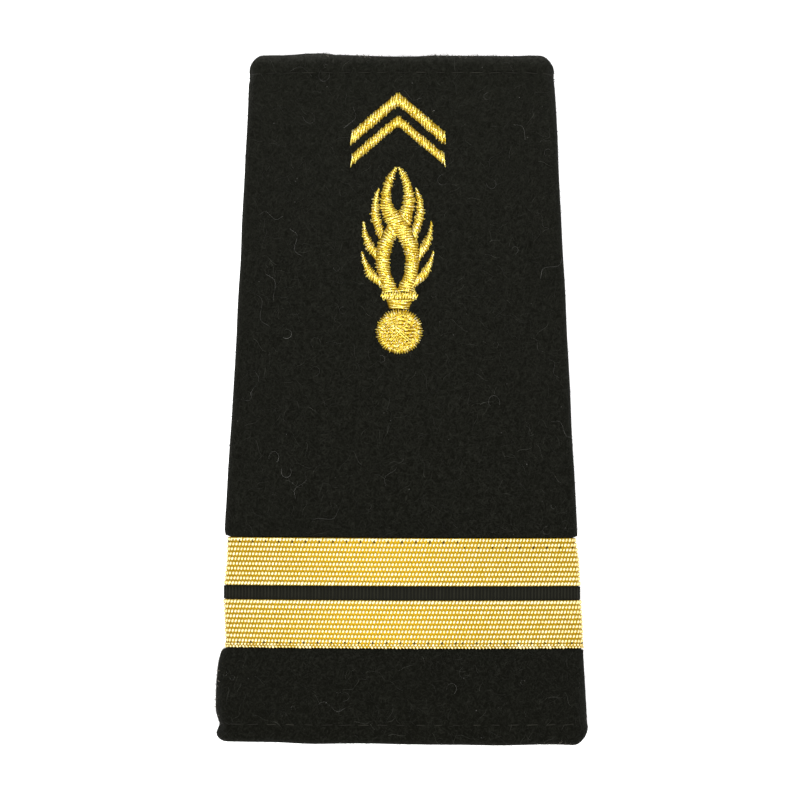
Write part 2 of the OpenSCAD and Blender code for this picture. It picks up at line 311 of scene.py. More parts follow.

# %% [markdown]
# ## Felt
#
# Black wool is never quite black. It reflects about one hundredth of the light,
# slightly more yellow than blue, and its upstanding fibres catch light at grazing
# angles, which the shader's sheen gives. Its specular level is far below that of
# plastic: at the usual level the gloss alone would be brighter than the wool. As
# painted light, its colour is a little paler toward the collar end than toward the
# outer end. It is paler still at the collar's rolled edge.

# %% Felt materials
def principled(name, **constants):
    """A material, its tree and its shader, with constants set on the shader itself."""
    material = bpy.data.materials.new(name)
    material.use_nodes = True
    shader = material.node_tree.nodes["Principled BSDF"]
    for label, value in constants.items():
        shader.inputs[label.replace("_", " ")].default_value = value
    return material, material.node_tree, shader


def own_place(tree):
    """The place on the object that is shaded, in metres."""
    return node(tree, "ShaderNodeTexCoord").outputs["Object"]


def own_tone(tree):
    """The random tone that a tree gave to each thread, float or fibre."""
    return node(tree, "ShaderNodeAttribute", attribute_name="tone").outputs["Fac"]


def use_group(tree, group, inputs):
    """A shader group in a material's tree, with its inputs set or linked."""
    made = node(tree, "ShaderNodeGroup", node_tree=group)
    for key, value in inputs.items():
        if isinstance(value, bpy.types.NodeSocket):
            tree.links.new(value, made.inputs[key])
        else:
            made.inputs[key].default_value = value
    return made


def mix_colours(tree, share, dark, light):
    """A colour between two others."""
    mixed = node(tree, "ShaderNodeMix", data_type="RGBA")
    for key, value in ((0, share), (6, dark), (7, light)):
        if isinstance(value, bpy.types.Node):
            value = next(s for s in value.outputs if s.enabled)
        if isinstance(value, bpy.types.NodeSocket):
            tree.links.new(value, mixed.inputs[key])
        else:
            mixed.inputs[key].default_value = value
    return mixed.outputs[2]


def bumped(tree, shader, height, strength, distance):
    """Gives the shader a relief from a height over the surface."""
    bump = node(tree, "ShaderNodeBump", {
        "Height": height, "Strength": strength, "Distance": distance})
    tree.links.new(bump.outputs[0], shader.inputs["Normal"])


# Half the board's length, and how dark and pale its wool is
half_board = 52.5 * MM
felt_dark = (0.0030, 0.0031, 0.0020, 1)
felt_light = (0.0162, 0.0167, 0.0130, 1)
felt_edge_pale = (0.033, 0.033, 0.028, 1)

felt, tree, shader = principled(
    "felt", Roughness=0.95, Specular_IOR_Level=0.03, Sheen_Weight=0.02,
    Sheen_Roughness=0.45, Sheen_Tint=(0.9, 0.9, 0.82, 1))
fibres = use_group(tree, streaks, {"Vector": own_place(tree)})
tone = math_node(tree, "ADD", math_node(tree, "MULTIPLY", fibres.outputs["Streaks"], 0.75),
                 math_node(tree, "MULTIPLY", fibres.outputs["Mottle"], 0.1))
place = node(tree, "ShaderNodeSeparateXYZ", {"Vector": own_place(tree)})
# Painted light: the felt is painted paler toward the collar end and darker toward the outer end
painted_light_gradient = remap(tree, place.outputs["Y"], -half_board, half_board, -0.15, 0.04)
wool = mix_colours(tree, math_node(tree, "ADD", tone, painted_light_gradient), felt_dark, felt_light)
# The felt is paler toward the collar's rolled edge
near_edge = remap(tree, place.outputs["Y"], half_board - 2 * MM, half_board - 0.2 * MM)
collar_edge_paling = math_node(tree, "MULTIPLY", math_node(tree, "POWER", near_edge, 2.2),
                      remap(tree, fibres.outputs["Streaks"], 0, 1, 0.25, 1.25))
tree.links.new(mix_colours(tree, collar_edge_paling, wool, felt_edge_pale), shader.inputs["Base Color"])
bumped(tree, shader, fibres.outputs["Streaks"], 0.8, 0.00010)

nap_black, tree, shader = principled(
    "nap_black", Roughness=0.9, Specular_IOR_Level=0.05, Sheen_Weight=0.02)
fibres = use_group(tree, streaks, {"Vector": own_place(tree), "Stretch": 1.0})
tree.links.new(mix_colours(tree, fibres.outputs["Streaks"], (0.008, 0.008, 0.006, 1),
                           (0.02, 0.02, 0.0165, 1)), shader.inputs["Base Color"])

lint_grey, tree, shader = principled("lint_grey", Roughness=0.8, Specular_IOR_Level=0.2)
fibres = use_group(tree, streaks, {"Vector": own_place(tree), "Streaks per Metre": 700.0})
spread = math_node(tree, "MULTIPLY", fibres.outputs["Mottle"], own_tone(tree))
tree.links.new(mix_colours(tree, spread, (0.022, 0.022, 0.019, 1),
                           (0.23, 0.226, 0.21, 1)), shader.inputs["Base Color"])

tangle_grey, tree, shader = principled("tangle_grey", Roughness=0.9, Specular_IOR_Level=0.05)
fibres = use_group(tree, streaks, {"Vector": own_place(tree), "Streaks per Metre": 900.0})
spread = math_node(tree, "MULTIPLY", fibres.outputs["Mottle"], own_tone(tree))
tree.links.new(mix_colours(tree, spread, (0.006, 0.006, 0.005, 1),
                           (0.075, 0.076, 0.064, 1)), shader.inputs["Base Color"])

frayed_grey, tree, shader = principled("frayed_grey", Roughness=0.9, Specular_IOR_Level=0.1)
fibres = use_group(tree, streaks, {"Vector": own_place(tree), "Streaks per Metre": 2000.0})
spread = math_node(tree, "ADD", math_node(tree, "MULTIPLY", own_tone(tree), 0.8),
                   math_node(tree, "MULTIPLY", fibres.outputs["Streaks"], 0.2))
tree.links.new(mix_colours(tree, math_node(tree, "POWER", spread, 1.5), (0.016, 0.014, 0.011, 1),
                           (0.42, 0.375, 0.315, 1)), shader.inputs["Base Color"])
print("felt materials:", felt.name, nap_black.name, lint_grey.name, tangle_grey.name,
      frayed_grey.name)

# %% [markdown]
# ## The sleeve's form
#
# The sleeve is one piece of felt, a little over a millimetre thick, closed into a
# flat tube. Its back lies flat, each side is a soft fold, and the face is one low
# arch. At each end the felt is turned in and stitched through, so the ends are
# twice as thick.
#
# Cloth could be simulated, but here the form follows a rule: one cut across, a few
# lengths, and short tables that say how they change along the board. The sizes are
# in millimetres and have the names that they have in the solid. They have its
# values too, but for the ribbon, which lies 0.22 mm nearer the collar, and the
# sides, corners and stitches, which are drawn in finer steps here. The surface is
# then a grid: places round the cut by places along the wall.

# %% Sizes of the sleeve, in millimetres
# The board's length, and its width at the outer end and at the collar's
board_l = 105.0
outer_w, collar_w = 56.6, 46.4
# The felt, the clear gap inside at the mouths and at mid-length, and the inner radius
# of the folds at the sides
felt_t = 1.1
mouth_gap, waist_gap = 4.8, 6.1
fold_in = 0.6
# A hem: how deep it is turned in, the gap between its layers, the run over which its
# bulk fades, and how far its stitches are from the end
hem_d, hem_gap, hem_run = 6.0, 0.1, 6.0
stitch_in = 2.6
# The outer end is longer at its right side, and the slant fades along the board
end_slant, end_slant_run = 0.6, 3.2
# Round of each corner: width across the board and length along it
outer_left, outer_right = (0.5, 0.4), (1.8, 1.9)
collar_left, collar_right = (1.4, 1.2), (1.6, 1.6)
# The ribbon: how far it is from the outer end, its bands, its stripe and its ground
ribbon_in, band_w, stripe_w = 14.52, 7.4, 2.1
band_t, ground_t = 0.25, 0.2
# Bands lie below the felt's surface, the stripe below the bands, and pieces apart
band_drop, stripe_drop, lie_gap = 0.08, 0.06, 0.05
# How much the ribbon squeezes the felt under it
squeeze = 0.32
# Gap between the ribbon's ends on the back, and half of it as a share of half the back
ribbon_split = 0.4
half_back = 25
split_share = ribbon_split / 2 / half_back

# Sizes that follow from these
hem_stack = 2 * felt_t + hem_gap
edge_r = hem_stack / 2
ribbon_w = 2 * band_w + stripe_w
ribbon_end = ribbon_in + ribbon_w
ribbon_mid = ribbon_in + ribbon_w / 2
ground_top = band_drop + band_t + lie_gap
ground_floor = ground_top + ground_t
groove = ground_floor + lie_gap
swell_run = hem_d + hem_run

# How far each side stands out from a straight line: place along, distance
left_bulge = [
    (0, 0.05), (1.6, 0.1), (2.7, -0.22), (3.6, 0.06), (4.8, 0.42), (6.5, 0.5), (9.5, 0.5),
    (11.5, 0.42), (12.8, 0.25), (13.9, 0), (14.45, -0.46), (15, -0.58), (18.8, -0.2),
    (22.7, 0.12), (25, 0.05), (28, -0.14), (31.2, -0.08), (31.7, 0.2), (32.6, 0.4),
    (34, 0.46), (37, 0.4), (50, 0.16), (61, 0.11), (68, 0.06),
    (75, 0)]
right_bulge = [
    (0, 0.3), (6, 0.22), (13.9, 0.2), (14.4, 0.3), (18.8, 0.38), (22.7, 0.28), (28, 0.32),
    (30.3, 0.06), (31.1, -0.06), (31.6, 0.18), (34, 0.24), (50, 0.2), (75, 0.12), (105, 0.1)]
# How far the collar's end stands out at a place across
collar_wave = [(-18, 0), (-16, 0.15), (-14.5, 0.3), (-12, 0.3), (-10, 0), (-5.5, -0.15),
               (-1, -0.3), (2.4, -0.3), (4.6, -0.15), (17, -0.15), (19.5, 0)]
# Turn of the ribbon against the board, in radians, and its share at a place along
ribbon_turn = 0.0035
turn_shape = [(0, 0), (9, 0.4), (13, 1), (33, 1), (60, 0)]
# Bulk of a hem: place along its run, share of the bulk
swell_shape = [(0, 1), (0.25, 0.85), (0.5, 0.5), (0.75, 0.15), (1, 0)]
# Pull of a row of stitches: distance from it, depth
stitch_pull = [(0, 0.34), (0.3, 0.26), (0.8, 0.09), (1.5, 0)]


def lookup(place, table, blur=0.0):
    """The table's value at a place, with its kinks rounded over the blur."""
    places, values = zip(*table)
    return sum(share * np.interp(place + shift, places, values)
               for shift, share in ((-blur, 0.25), (0, 0.5), (blur, 0.25)))


def blend(low, high, share):
    """A value between two others."""
    return low + (high - low) * share


print("sleeve:", board_l, "mm long, ribbon:", round(ribbon_w, 1), "mm wide")


# %% One cut across the sleeve
def swell(along):
    """Share of the hem's bulk at a place along the board."""
    from_end = np.minimum(along, board_l - along)
    return lookup((from_end - hem_d) / hem_run, swell_shape, 0.08)


def side(along, bulge):
    """How far a side stands from the middle line at a place along."""
    return blend(outer_w, collar_w, along / board_l) / 2 + lookup(along, bulge, 0.12)


def cut(along):
    """Sizes of the cut at a place along: a flat back, two round folds and a wide arc."""
    left, right = side(along, left_bulge), side(along, right_bulge)
    half = (left + right) / 2
    wall = blend(felt_t, hem_stack, swell(along))
    fold = fold_in + wall
    high = blend(waist_gap, mouth_gap, swell(along)) + 2 * wall
    slope = 2 * np.arctan((high - 2 * fold) / (half - fold))
    return dict(middle=(right - left) / 2, half=half, fold=fold, high=high, slope=slope,
                crown=fold + (half - fold) / np.sin(slope))


def on_cut(c, deep, zone, share):
    """X and Z on a cut, deep below its surface: zone is back, right, front or left."""
    flat, full = c["half"] - c["fold"], math.pi
    if zone == "back":
        return c["middle"] + flat * share, deep + 0 * flat
    turn, x, z, r = {
        "right": (-full / 2 + (full - c["slope"]) * share, flat, c["fold"], c["fold"]),
        "front": (full / 2 + c["slope"] * (2 * share - 1), 0, c["high"] - c["crown"],
                  c["crown"]),
        "left": (full / 2 + c["slope"] + (full - c["slope"]) * share, -flat, c["fold"],
                 c["fold"])}[zone]
    return c["middle"] + x + (r - deep) * np.cos(turn), z + (r - deep) * np.sin(turn)


def corner_pull(c, line, left, right):
    """How far a corner is drawn back at a place across."""
    wide = np.where(line < c["middle"], left[0], right[0])
    long = np.where(line < c["middle"], left[1], right[1])
    over = np.clip((abs(line - c["middle"]) - (c["half"] - wide)) / wide, 0, 1)
    return long * (1 - np.sqrt(1 - over ** 2))


def on_sleeve(along, deep, zone, share):
    """Places on the sleeve. Its corners are drawn back and its outer end is slanted."""
    along = np.asarray(along, float)
    c = cut(along)
    x, z = on_cut(c, deep, zone, share)
    line, _ = on_cut(c, 0, zone, share)
    slant = end_slant * (0.5 - line / (2 * c["half"])) * np.clip(
        1 - along / end_slant_run, 0, None)
    outer_pull = np.clip(1 - along / swell_run, 0, None) * corner_pull(
        c, line, outer_left, outer_right) + slant
    collar_pull = np.clip(1 - (board_l - along) / swell_run, 0, None) * corner_pull(
        c, line, collar_left, collar_right)
    turned = -ribbon_turn * lookup(along, turn_shape) * line
    return np.stack([x, along - board_l / 2 + outer_pull - collar_pull + turned,
                     z + 0 * x], -1)


def around(front_n, fold_n, back_n):
    """Places round a cut, from the middle of the back: zone and share of the zone."""
    return ([("back", i / back_n) for i in range(back_n)]
            + [("right", i / fold_n) for i in range(fold_n)]
            + [("front", i / front_n) for i in range(front_n)]
            + [("left", i / fold_n) for i in range(fold_n)]
            + [("back", i / back_n - 1) for i in range(back_n)])


def front_z(x, y):
    """Height of the face over a place."""
    c = cut(y + board_l / 2)
    return c["high"] - c["crown"] + np.sqrt(c["crown"] ** 2 - (x - c["middle"]) ** 2)


print("face height at mid-length:", round(float(front_z(0.0, 0.0)), 2), "mm")

# %% [markdown]
# ## The sleeve's surface
#
# Machine stitches pull thick felt in at each needle hole, and the felt puffs up
# between them. That gives a hem its soft row of dimples. Felt is also never quite
# flat, so a slow noise lowers its surface here and there. It only lowers it: the
# ribbon and the embroidery lie on the surface, and nothing may poke through them.

# %% Build the sleeve
# Length of a hem's stitches, and the steps in which the surface is drawn
hem_stitch = 2.8
felt_step = 0.65
# Depth of the slow noise and the size of its hollows, on the surface and at the ends
uneven, uneven_size = 0.13, 9.0
end_wave, end_wave_size = 0.2, 9.0
# How far the rolled edges stand out past the two ends
outer_out, collar_out = 0.33, 0.02
# Share of the stitches' pull that is felt in the right fold
right_pull = 0.25
spots = around(front_n=96, fold_n=16, back_n=20)


def walks(along, places):
    """Distance walked round the cut at that place along, for each place round it."""
    points = np.array([on_sleeve(along, 0.0, *p) for p in places])
    steps = np.linalg.norm(np.diff(points, axis=0), axis=1)
    return np.concatenate([[0], np.cumsum(steps)])


def dent(along, walk, zone):
    """Depth of the felt's surface below the sleeve's line. Walk is the distance round
    each hem, the outer one and the collar's."""
    from_end = np.minimum(along, board_l - along)
    walked = np.where(along < board_l / 2, walk[0], walk[1])
    holes = 0.66 + 0.34 * np.cos(2 * math.pi * walked / hem_stitch)
    if zone == "right":
        holes = holes * right_pull
    return (lookup(abs(from_end - stitch_in), stitch_pull) * holes
            + np.interp(abs(along - ribbon_mid) - ribbon_w / 2, (0, band_t), (groove, 0)))


def inside(along):
    """Depth of the wall's inner surface. Under the ribbon the felt bulges inward."""
    bulge = max(0, groove - squeeze)
    return felt_t + np.interp(abs(along - ribbon_mid) - ribbon_w / 2, (0, felt_t), (bulge, 0))


def slow_noise(points, size):
    """Smooth noise at each point, with hollows of about that size."""
    return np.array([noise.noise(Vector(p) / size) for p in points])


edge_turns = np.linspace(-math.pi / 2, math.pi / 2, 11)
outside_run = np.unique(np.concatenate([
    np.arange(edge_r + 0.3, board_l - edge_r - 0.2, felt_step),
    [ribbon_in - band_t, ribbon_in, ribbon_end, ribbon_end + band_t]]))
inside_run = np.arange(board_l - hem_d, hem_d - 0.1, -2.0)


def wall_line(walk, zone="front"):
    """The wall as a closed line: along, depth and how freely its surface may waver."""
    line = [(edge_r - edge_r * math.cos(t), edge_r - edge_r * math.sin(t), 0)
            for t in edge_turns]
    clear = np.clip(abs(outside_run - ribbon_mid) - ribbon_w / 2 - 0.5, 0, 2) / 2
    line += zip(outside_run, dent(outside_run, walk, zone), clear)
    line += [(board_l - edge_r + edge_r * math.cos(t), edge_r - edge_r * math.sin(t), 0)
             for t in edge_turns[::-1]]
    tuck, under = board_l - hem_d, felt_t + hem_gap
    line += [(tuck, hem_stack, 0), (tuck, under, 0), (board_l - edge_r, under, 0),
             (board_l - edge_r, felt_t, 0)]
    line += zip(inside_run, inside(inside_run), 0 * inside_run)
    line += [(edge_r, felt_t, 0), (edge_r, under, 0), (hem_d, under, 0), (hem_d, hem_stack, 0)]
    return np.array(line)


def ring_faces(rows, columns):
    """Faces of a grid that closes on itself both ways."""
    return [(i * columns + j, (i + 1) % rows * columns + j,
             (i + 1) % rows * columns + (j + 1) % columns, i * columns + (j + 1) % columns)
            for i in range(rows) for j in range(columns)]


rows = []
hem_walks = zip(walks(stitch_in, spots), walks(board_l - stitch_in, spots))
for spot, walk in zip(spots, hem_walks):
    line = wall_line(walk, spot[0])
    points = on_sleeve(line[:, 0], line[:, 1], *spot)
    sink = uneven * (0.5 + slow_noise(points, uneven_size)) * line[:, 2]
    lowered = on_sleeve(line[:, 0], line[:, 1] + np.clip(sink, 0, None), *spot)
    near_end = np.clip(1 - np.minimum(line[:, 0], board_l - line[:, 0]) / hem_d, 0, 1)
    sway = np.array([noise.noise(Vector((p[0] / end_wave_size, np.sign(p[1]) * 7, 0)))
                     for p in points])
    outer = points[:, 1] < 0
    out_by = np.where(outer, outer_out,
                      collar_out + lookup(points[:, 0], collar_wave)) + end_wave * sway
    lowered[:, 1] += np.where(outer, -1, 1) * near_end * out_by
    rows.append(lowered)
felt_sleeve = mesh_object("felt_body", np.concatenate(rows),
                          ring_faces(len(rows), len(rows[0])), material=felt)
print("felt_body:", 2 * len(felt_sleeve.data.polygons), "triangles, z from",
      round(min(v.co.z for v in felt_sleeve.data.vertices) * 1000, 3), "mm")

# %% Measure the sleeve against its solid
low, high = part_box("felt_sleeve")
for axis in range(3):
    found = [v.co[axis] for v in felt_sleeve.data.vertices]
    print("XYZ"[axis], "solid", round(1000 * low[axis], 2), round(1000 * high[axis], 2),
          "felt", round(1000 * min(found), 2), round(1000 * max(found), 2))

# %% [markdown]
# ## A tree that lines up small forms
#
# A woven row of gold is the same little float of metal thread, hundreds of times,
# and a seam is the same stitch over and over. Copies could be placed in a Python
# loop, but then each new size needs new code. This Geometry Nodes tree takes any
# path, puts a form on it at each step, stands it on the surface, and turns and
# scales it a little at random from a fixed seed. The path brings its own outward
# direction, `out`, because only the sleeve knows which way is up.

# %% Line up forms on a path
line_up, take, give = new_group(
    "line up forms on a path", "GeometryNodeTree",
    [("Path", "Geometry", None), ("Form", "Object", None), ("Pitch", "Float", 0.0005),
     ("Size", "Vector", (MM, MM, MM)), ("Turn", "Float", 0.0), ("Turn Jitter", "Float", 0.0),
     ("Size Jitter", "Float", 0.0), ("Seed", "Int", 1), ("Material", "Material", None)],
    [("Geometry", "Geometry")])
spaced = node(line_up, "GeometryNodeResampleCurve", {
    "Curve": node(line_up, "GeometryNodeMeshToCurve", {"Mesh": take["Path"]}),
    "Length": take["Pitch"]}, mode="LENGTH")
out = node(line_up, "GeometryNodeInputNamedAttribute", {"Name": "out"},
           data_type="FLOAT_VECTOR")
upright = node(line_up, "FunctionNodeAlignRotationToVector", {"Vector": out}, axis="Z")
along_path = node(line_up, "FunctionNodeAlignRotationToVector", {
    "Rotation": upright, "Vector": node(line_up, "GeometryNodeInputTangent")},
    axis="X", pivot_axis="Z")
spread = node(line_up, "FunctionNodeRandomValue", {
    "Min": -1.0, "Max": 1.0, "Seed": take["Seed"]}, data_type="FLOAT")
angle = math_node(line_up, "ADD", take["Turn"],
                  math_node(line_up, "MULTIPLY", spread, take["Turn Jitter"]))
turned = node(line_up, "FunctionNodeRotateRotation", {
    "Rotation": along_path,
    "Rotate By": node(line_up, "FunctionNodeAxisAngleToRotation", {
        "Axis": (0, 0, 1), "Angle": angle})}, rotation_space="LOCAL")
jitter = node(line_up, "FunctionNodeRandomValue", {
    "Min": (-1, -1, -1), "Max": (1, 1, 1),
    "Seed": math_node(line_up, "ADD", take["Seed"], 7)}, data_type="FLOAT_VECTOR")
sized = vector_node(line_up, "MULTIPLY", take["Size"], vector_node(
    line_up, "ADD", (1, 1, 1), vector_node(line_up, "SCALE", jitter,
                                           Scale=take["Size Jitter"])))
placed = node(line_up, "GeometryNodeInstanceOnPoints", {
    "Points": spaced, "Instance": node(line_up, "GeometryNodeObjectInfo", {
        "Object": take["Form"]}).outputs["Geometry"],
    "Rotation": turned, "Scale": sized})
toned = node(line_up, "GeometryNodeStoreNamedAttribute", {
    "Geometry": placed, "Name": "tone", "Value": node(
        line_up, "FunctionNodeRandomValue", {
            "Seed": math_node(line_up, "ADD", take["Seed"], 13)}, data_type="FLOAT")},
    data_type="FLOAT", domain="INSTANCE")
real = node(line_up, "GeometryNodeRealizeInstances", {"Geometry": toned})
smooth = node(line_up, "GeometryNodeSetShadeSmooth", {0: real})
line_up.links.new(node(line_up, "GeometryNodeSetMaterial", {
    "Geometry": smooth, "Material": take["Material"]}).outputs[0], give.inputs[0])
print(line_up.name + ":", len(line_up.nodes), "nodes")

# %% [markdown]
# ## Paths for the rows
#
# Each row of the ribbon and each seam follows a line round the board, from the gap
# behind it over the face and back. Such a line could be drawn by hand, but it has to
# lie on the sleeve everywhere. So it is read off the cut that shaped the felt, and
# walked in even steps, which the tree then turns into places for the forms.

# %% Paths round the sleeve
# Height to which the table presses the rows under the board
rest_z = 0.25
# A path cuts its corners, so its steps are a hair short of the true pitch
pitch_share = 0.998


def ring_path(along, deep, pitch, phase=0.0):
    """Points and outward directions round the sleeve, from behind and back again.
    A step falls on the middle of the face, moved on by the phase, a share of a step.
    The table presses what lies under the board up into it, to the height of rest_z."""
    spots = around(front_n=160, fold_n=24, back_n=24)[1:]
    spots = [("back", split_share)] + spots + [("back", -split_share)]
    skin = np.array([on_sleeve(along, deep, *s) for s in spots])
    under = np.array([on_sleeve(along, deep + 0.3, *s) for s in spots])
    walk = np.concatenate([[0], np.cumsum(np.linalg.norm(np.diff(skin, axis=0), axis=1))])
    start = (walk[spots.index(("front", 0.5))] + phase * pitch) % pitch
    count = int((walk[-1] - 0.1 - start) / pitch)
    stops = start + np.arange(2 * count + 1) * pitch / 2
    points = np.stack([np.interp(stops, walk, skin[:, k]) for k in range(3)], -1)
    out = points - np.stack([np.interp(stops, walk, under[:, k]) for k in range(3)], -1)
    points[:, 2] = np.maximum(points[:, 2], rest_z)
    return points, out / np.linalg.norm(out, axis=1)[:, None]


def path_object(name, paths):
    """One helper mesh of loose edges from several paths."""
    points, outs, edges = [], [], []
    for line, out in paths:
        edges += [(len(points) + i, len(points) + i + 1) for i in range(len(line) - 1)]
        points += list(line)
        outs += list(out)
    thing = mesh_object(name, points, edges=edges)
    thing.data.attributes.new("out", "FLOAT_VECTOR", "POINT").data.foreach_set(
        "vector", np.array(outs, np.float32).ravel())
    return thing


def lined_up(name, paths, form, pitch, size, material, turn=0.0, turn_jitter=0.0,
             size_jitter=0.0, seed=1):
    """One piece from a form that is lined up on some paths."""
    source = path_object(name + "_path", paths)
    thing = grown(name, source, line_up, {
        "Form": form, "Pitch": pitch_share * pitch * MM, "Size": [s * MM for s in size],
        "Turn": math.radians(turn), "Turn Jitter": math.radians(turn_jitter),
        "Size Jitter": size_jitter, "Seed": seed, "Material": material})
    drop(source)
    return thing


def join(name, things):
    """Several meshes as one piece."""
    with bpy.context.temp_override(active_object=things[0], object=things[0],
                                   selected_objects=things,
                                   selected_editable_objects=things):
        bpy.ops.object.join()
    things[0].name = things[0].data.name = name
    return things[0]


# %% [markdown]
# ## Gold, in three finishes
#
# Metal thread is a strip of thin gold film wound round a core. It mirrors the
# lamp where a strand crowns, and deepens to brown gold between strands. Much of
# that is painted: the floats are painted near white on their crowns and brown at
# their feet, the gold ground between rows is darker, partly as painted shade, and
# the embroidery gets painted white glints. One group of nodes gives every gold
# finish its colours. It takes the tone that each stitch or float carries, adds fine
# unevenness that also serves as painted sparkle, mixes in the painted glints, and
# gives a colour and a roughness.

# %% Gold materials
painted_glint_white = (1.0, 0.97, 0.72, 1)
# Brown of the painted shade at the foot of each woven float
painted_shade_brown = (0.39, 0.226, 0.0005, 1)
gold_look, take, give = new_group(
    "gold film", "ShaderNodeTree",
    [("Vector", "Vector", None), ("Tone", "Float", 0.5), ("Variation", "Float", 0.5),
     ("Dark", "Color", (0.3, 0.15, 0.01, 1)), ("Light", "Color", (0.9, 0.6, 0.1, 1)),
     ("Roughness", "Float", 0.35), ("Painted Glints", "Float", 0.0)],
    [("Color", "Color"), ("Roughness", "Float")])
# Fine flecks of the film, strong enough to serve as painted sparkle as well
flecks = node(gold_look, "ShaderNodeTexNoise", {
    "Vector": take["Vector"], "Scale": 2900.0, "Detail": 1.0})
film = remap(gold_look, flecks.outputs[0], 0.35, 0.65)
even = math_node(gold_look, "ADD", math_node(gold_look, "MULTIPLY", take["Tone"], 0.5),
                 math_node(gold_look, "MULTIPLY", film, 0.5))
share = math_node(gold_look, "ADD", 0.5, math_node(
    gold_look, "MULTIPLY", math_node(gold_look, "SUBTRACT", even, 0.5),
    math_node(gold_look, "MULTIPLY", take["Variation"], 2.0)))
share.use_clamp = True
# Painted glints: near-white flecks mixed into the colour where a fine noise peaks
painted_glint_noise = node(gold_look, "ShaderNodeTexNoise", {
    "Vector": take["Vector"], "Scale": 4300.0, "Detail": 0.0})
painted_glint = math_node(gold_look, "MULTIPLY", remap(gold_look, painted_glint_noise.outputs[0], 0.58, 0.7),
                  take["Painted Glints"])
plain_film = mix_colours(gold_look, share, take["Dark"], take["Light"])
gold_look.links.new(mix_colours(gold_look, painted_glint, plain_film, painted_glint_white),
                    give.inputs["Color"])
gold_look.links.new(math_node(gold_look, "ADD", take["Roughness"], math_node(
    gold_look, "MULTIPLY", math_node(gold_look, "SUBTRACT", flecks.outputs[0], 0.5),
    0.3)).outputs[0], give.inputs["Roughness"])


def gold_material(name, dark, light, roughness, variation=0.5, metallic=1.0, painted_glints=0.0):
    """A gold finish whose colour follows the tone that each float or thread carries."""
    material, tree, shader = principled(name, Metallic=metallic, Specular_IOR_Level=0.1,
                                        Specular_Tint=(1.0, 0.82, 0.35, 1))
    look = use_group(tree, gold_look, {
        "Vector": own_place(tree), "Tone": own_tone(tree), "Dark": dark, "Light": light,
        "Variation": variation, "Roughness": roughness, "Painted Glints": painted_glints})
    tree.links.new(look.outputs["Color"], shader.inputs["Base Color"])
    tree.links.new(look.outputs["Roughness"], shader.inputs["Roughness"])
    return material, tree, shader


# Painted light: each float is painted near white on its crown and brown at its foot, by its
# height share, crown
ribbon_gold, tree, shader = gold_material(
    "woven_gold", (0.86, 0.75, 0.32, 1), (1.0, 0.96, 0.60, 1), 0.38, metallic=0.35)
crown = node(tree, "ShaderNodeAttribute", attribute_name="crown").outputs["Fac"]
look = shader.inputs["Base Color"].links[0].from_socket
tree.links.new(mix_colours(tree, math_node(tree, "POWER", crown, 2.0), painted_shade_brown, look),
               shader.inputs["Base Color"])
film = node(tree, "ShaderNodeTexNoise", {"Vector": own_place(tree), "Scale": 5200.0})
bumped(tree, shader, film.outputs[0], 0.35, 0.00005)

# The gold ground between the rows is darker than the floats: partly its own deeper gold, partly
# painted shade between the rows
ribbon_ground_gold, tree, shader = gold_material(
    "ribbon_gold_ground", (0.32, 0.185, 0.0003, 1), (0.46, 0.29, 0.001, 1), 0.5,
    metallic=0.35)
film = node(tree, "ShaderNodeTexNoise", {"Vector": own_place(tree), "Scale": 3000.0})
bumped(tree, shader, film.outputs[0], 0.6, 0.00008)

gold_thread, tree, shader = gold_material(
    "gold_embroidery_thread", (0.55, 0.36, 0.008, 1), (0.95, 0.81, 0.17, 1), 0.32,
    variation=0.8, metallic=0.7, painted_glints=0.7)
run = node(tree, "ShaderNodeAttribute", attribute_name="run").outputs["Fac"]
round_it = node(tree, "ShaderNodeAttribute", attribute_name="round").outputs["Fac"]
twist = use_group(tree, yarn, {"Along": run, "Round": round_it, "Twist": 0.00055,
                               "Plies": 2.0})
bumped(tree, shader, twist.outputs["Height"], 0.35, 0.00006)

# Painted shade: the padding is dark brown at its rim round each stroke and the ball, and paler
# gold inside
gold_padding, tree, shader = gold_material(
    "gold_padding", (0.085, 0.038, 0.002, 1), (0.40, 0.255, 0.007, 1), 0.6, metallic=0.4)
film = node(tree, "ShaderNodeTexNoise", {"Vector": own_place(tree), "Scale": 2500.0})
bumped(tree, shader, film.outputs[0], 0.8, 0.0001)
print("gold materials:", ribbon_gold.name, gold_thread.name, gold_padding.name)

# %% [markdown]
# ## Dark finishes
#
# The stripe between the gold bands is ribbed black thread, and the hems are sewn
# with dark thread. The needle holes in the gold are dark brown marks, painted shade
# where each hole is. One flat black could do for all three, but then no rib and no
# ply would show. So the two threads get the twist of real yarn as a relief, and each
# finish has tones that lie close. The ribs are painted darker at their feet and on
# the ground between them, as painted shade.

# %% Black ribbon, seam thread and needle holes
black_ribs_per_metre = 1900.0
seam_plies_per_metre = 2500.0
ribbon_black, tree, shader = principled(
    "ribbon_black_weave", Specular_IOR_Level=0.06, Roughness=0.7)
place = node(tree, "ShaderNodeSeparateXYZ", {"Vector": own_place(tree)})
twist = use_group(tree, yarn, {"Along": place.outputs["Y"], "Twist": 0.00028,
                               "Round": math_node(tree, "MULTIPLY", place.outputs["X"],
                                                  black_ribs_per_metre).outputs[0],
                               "Plies": 1.0})
# Painted shade: each rib is painted darker at its foot, and the ground between the ribs, which
# has no crown, darkest
crown = node(tree, "ShaderNodeAttribute", attribute_name="crown").outputs["Fac"]
ridge = mix_colours(tree, own_tone(tree), (0.0086, 0.0086, 0.0053, 1),
                    (0.0122, 0.0122, 0.0079, 1))
tree.links.new(mix_colours(tree, crown, (0.0062, 0.0062, 0.0043, 1), ridge),
               shader.inputs["Base Color"])
bumped(tree, shader, twist.outputs["Height"], 0.3, 0.00004)

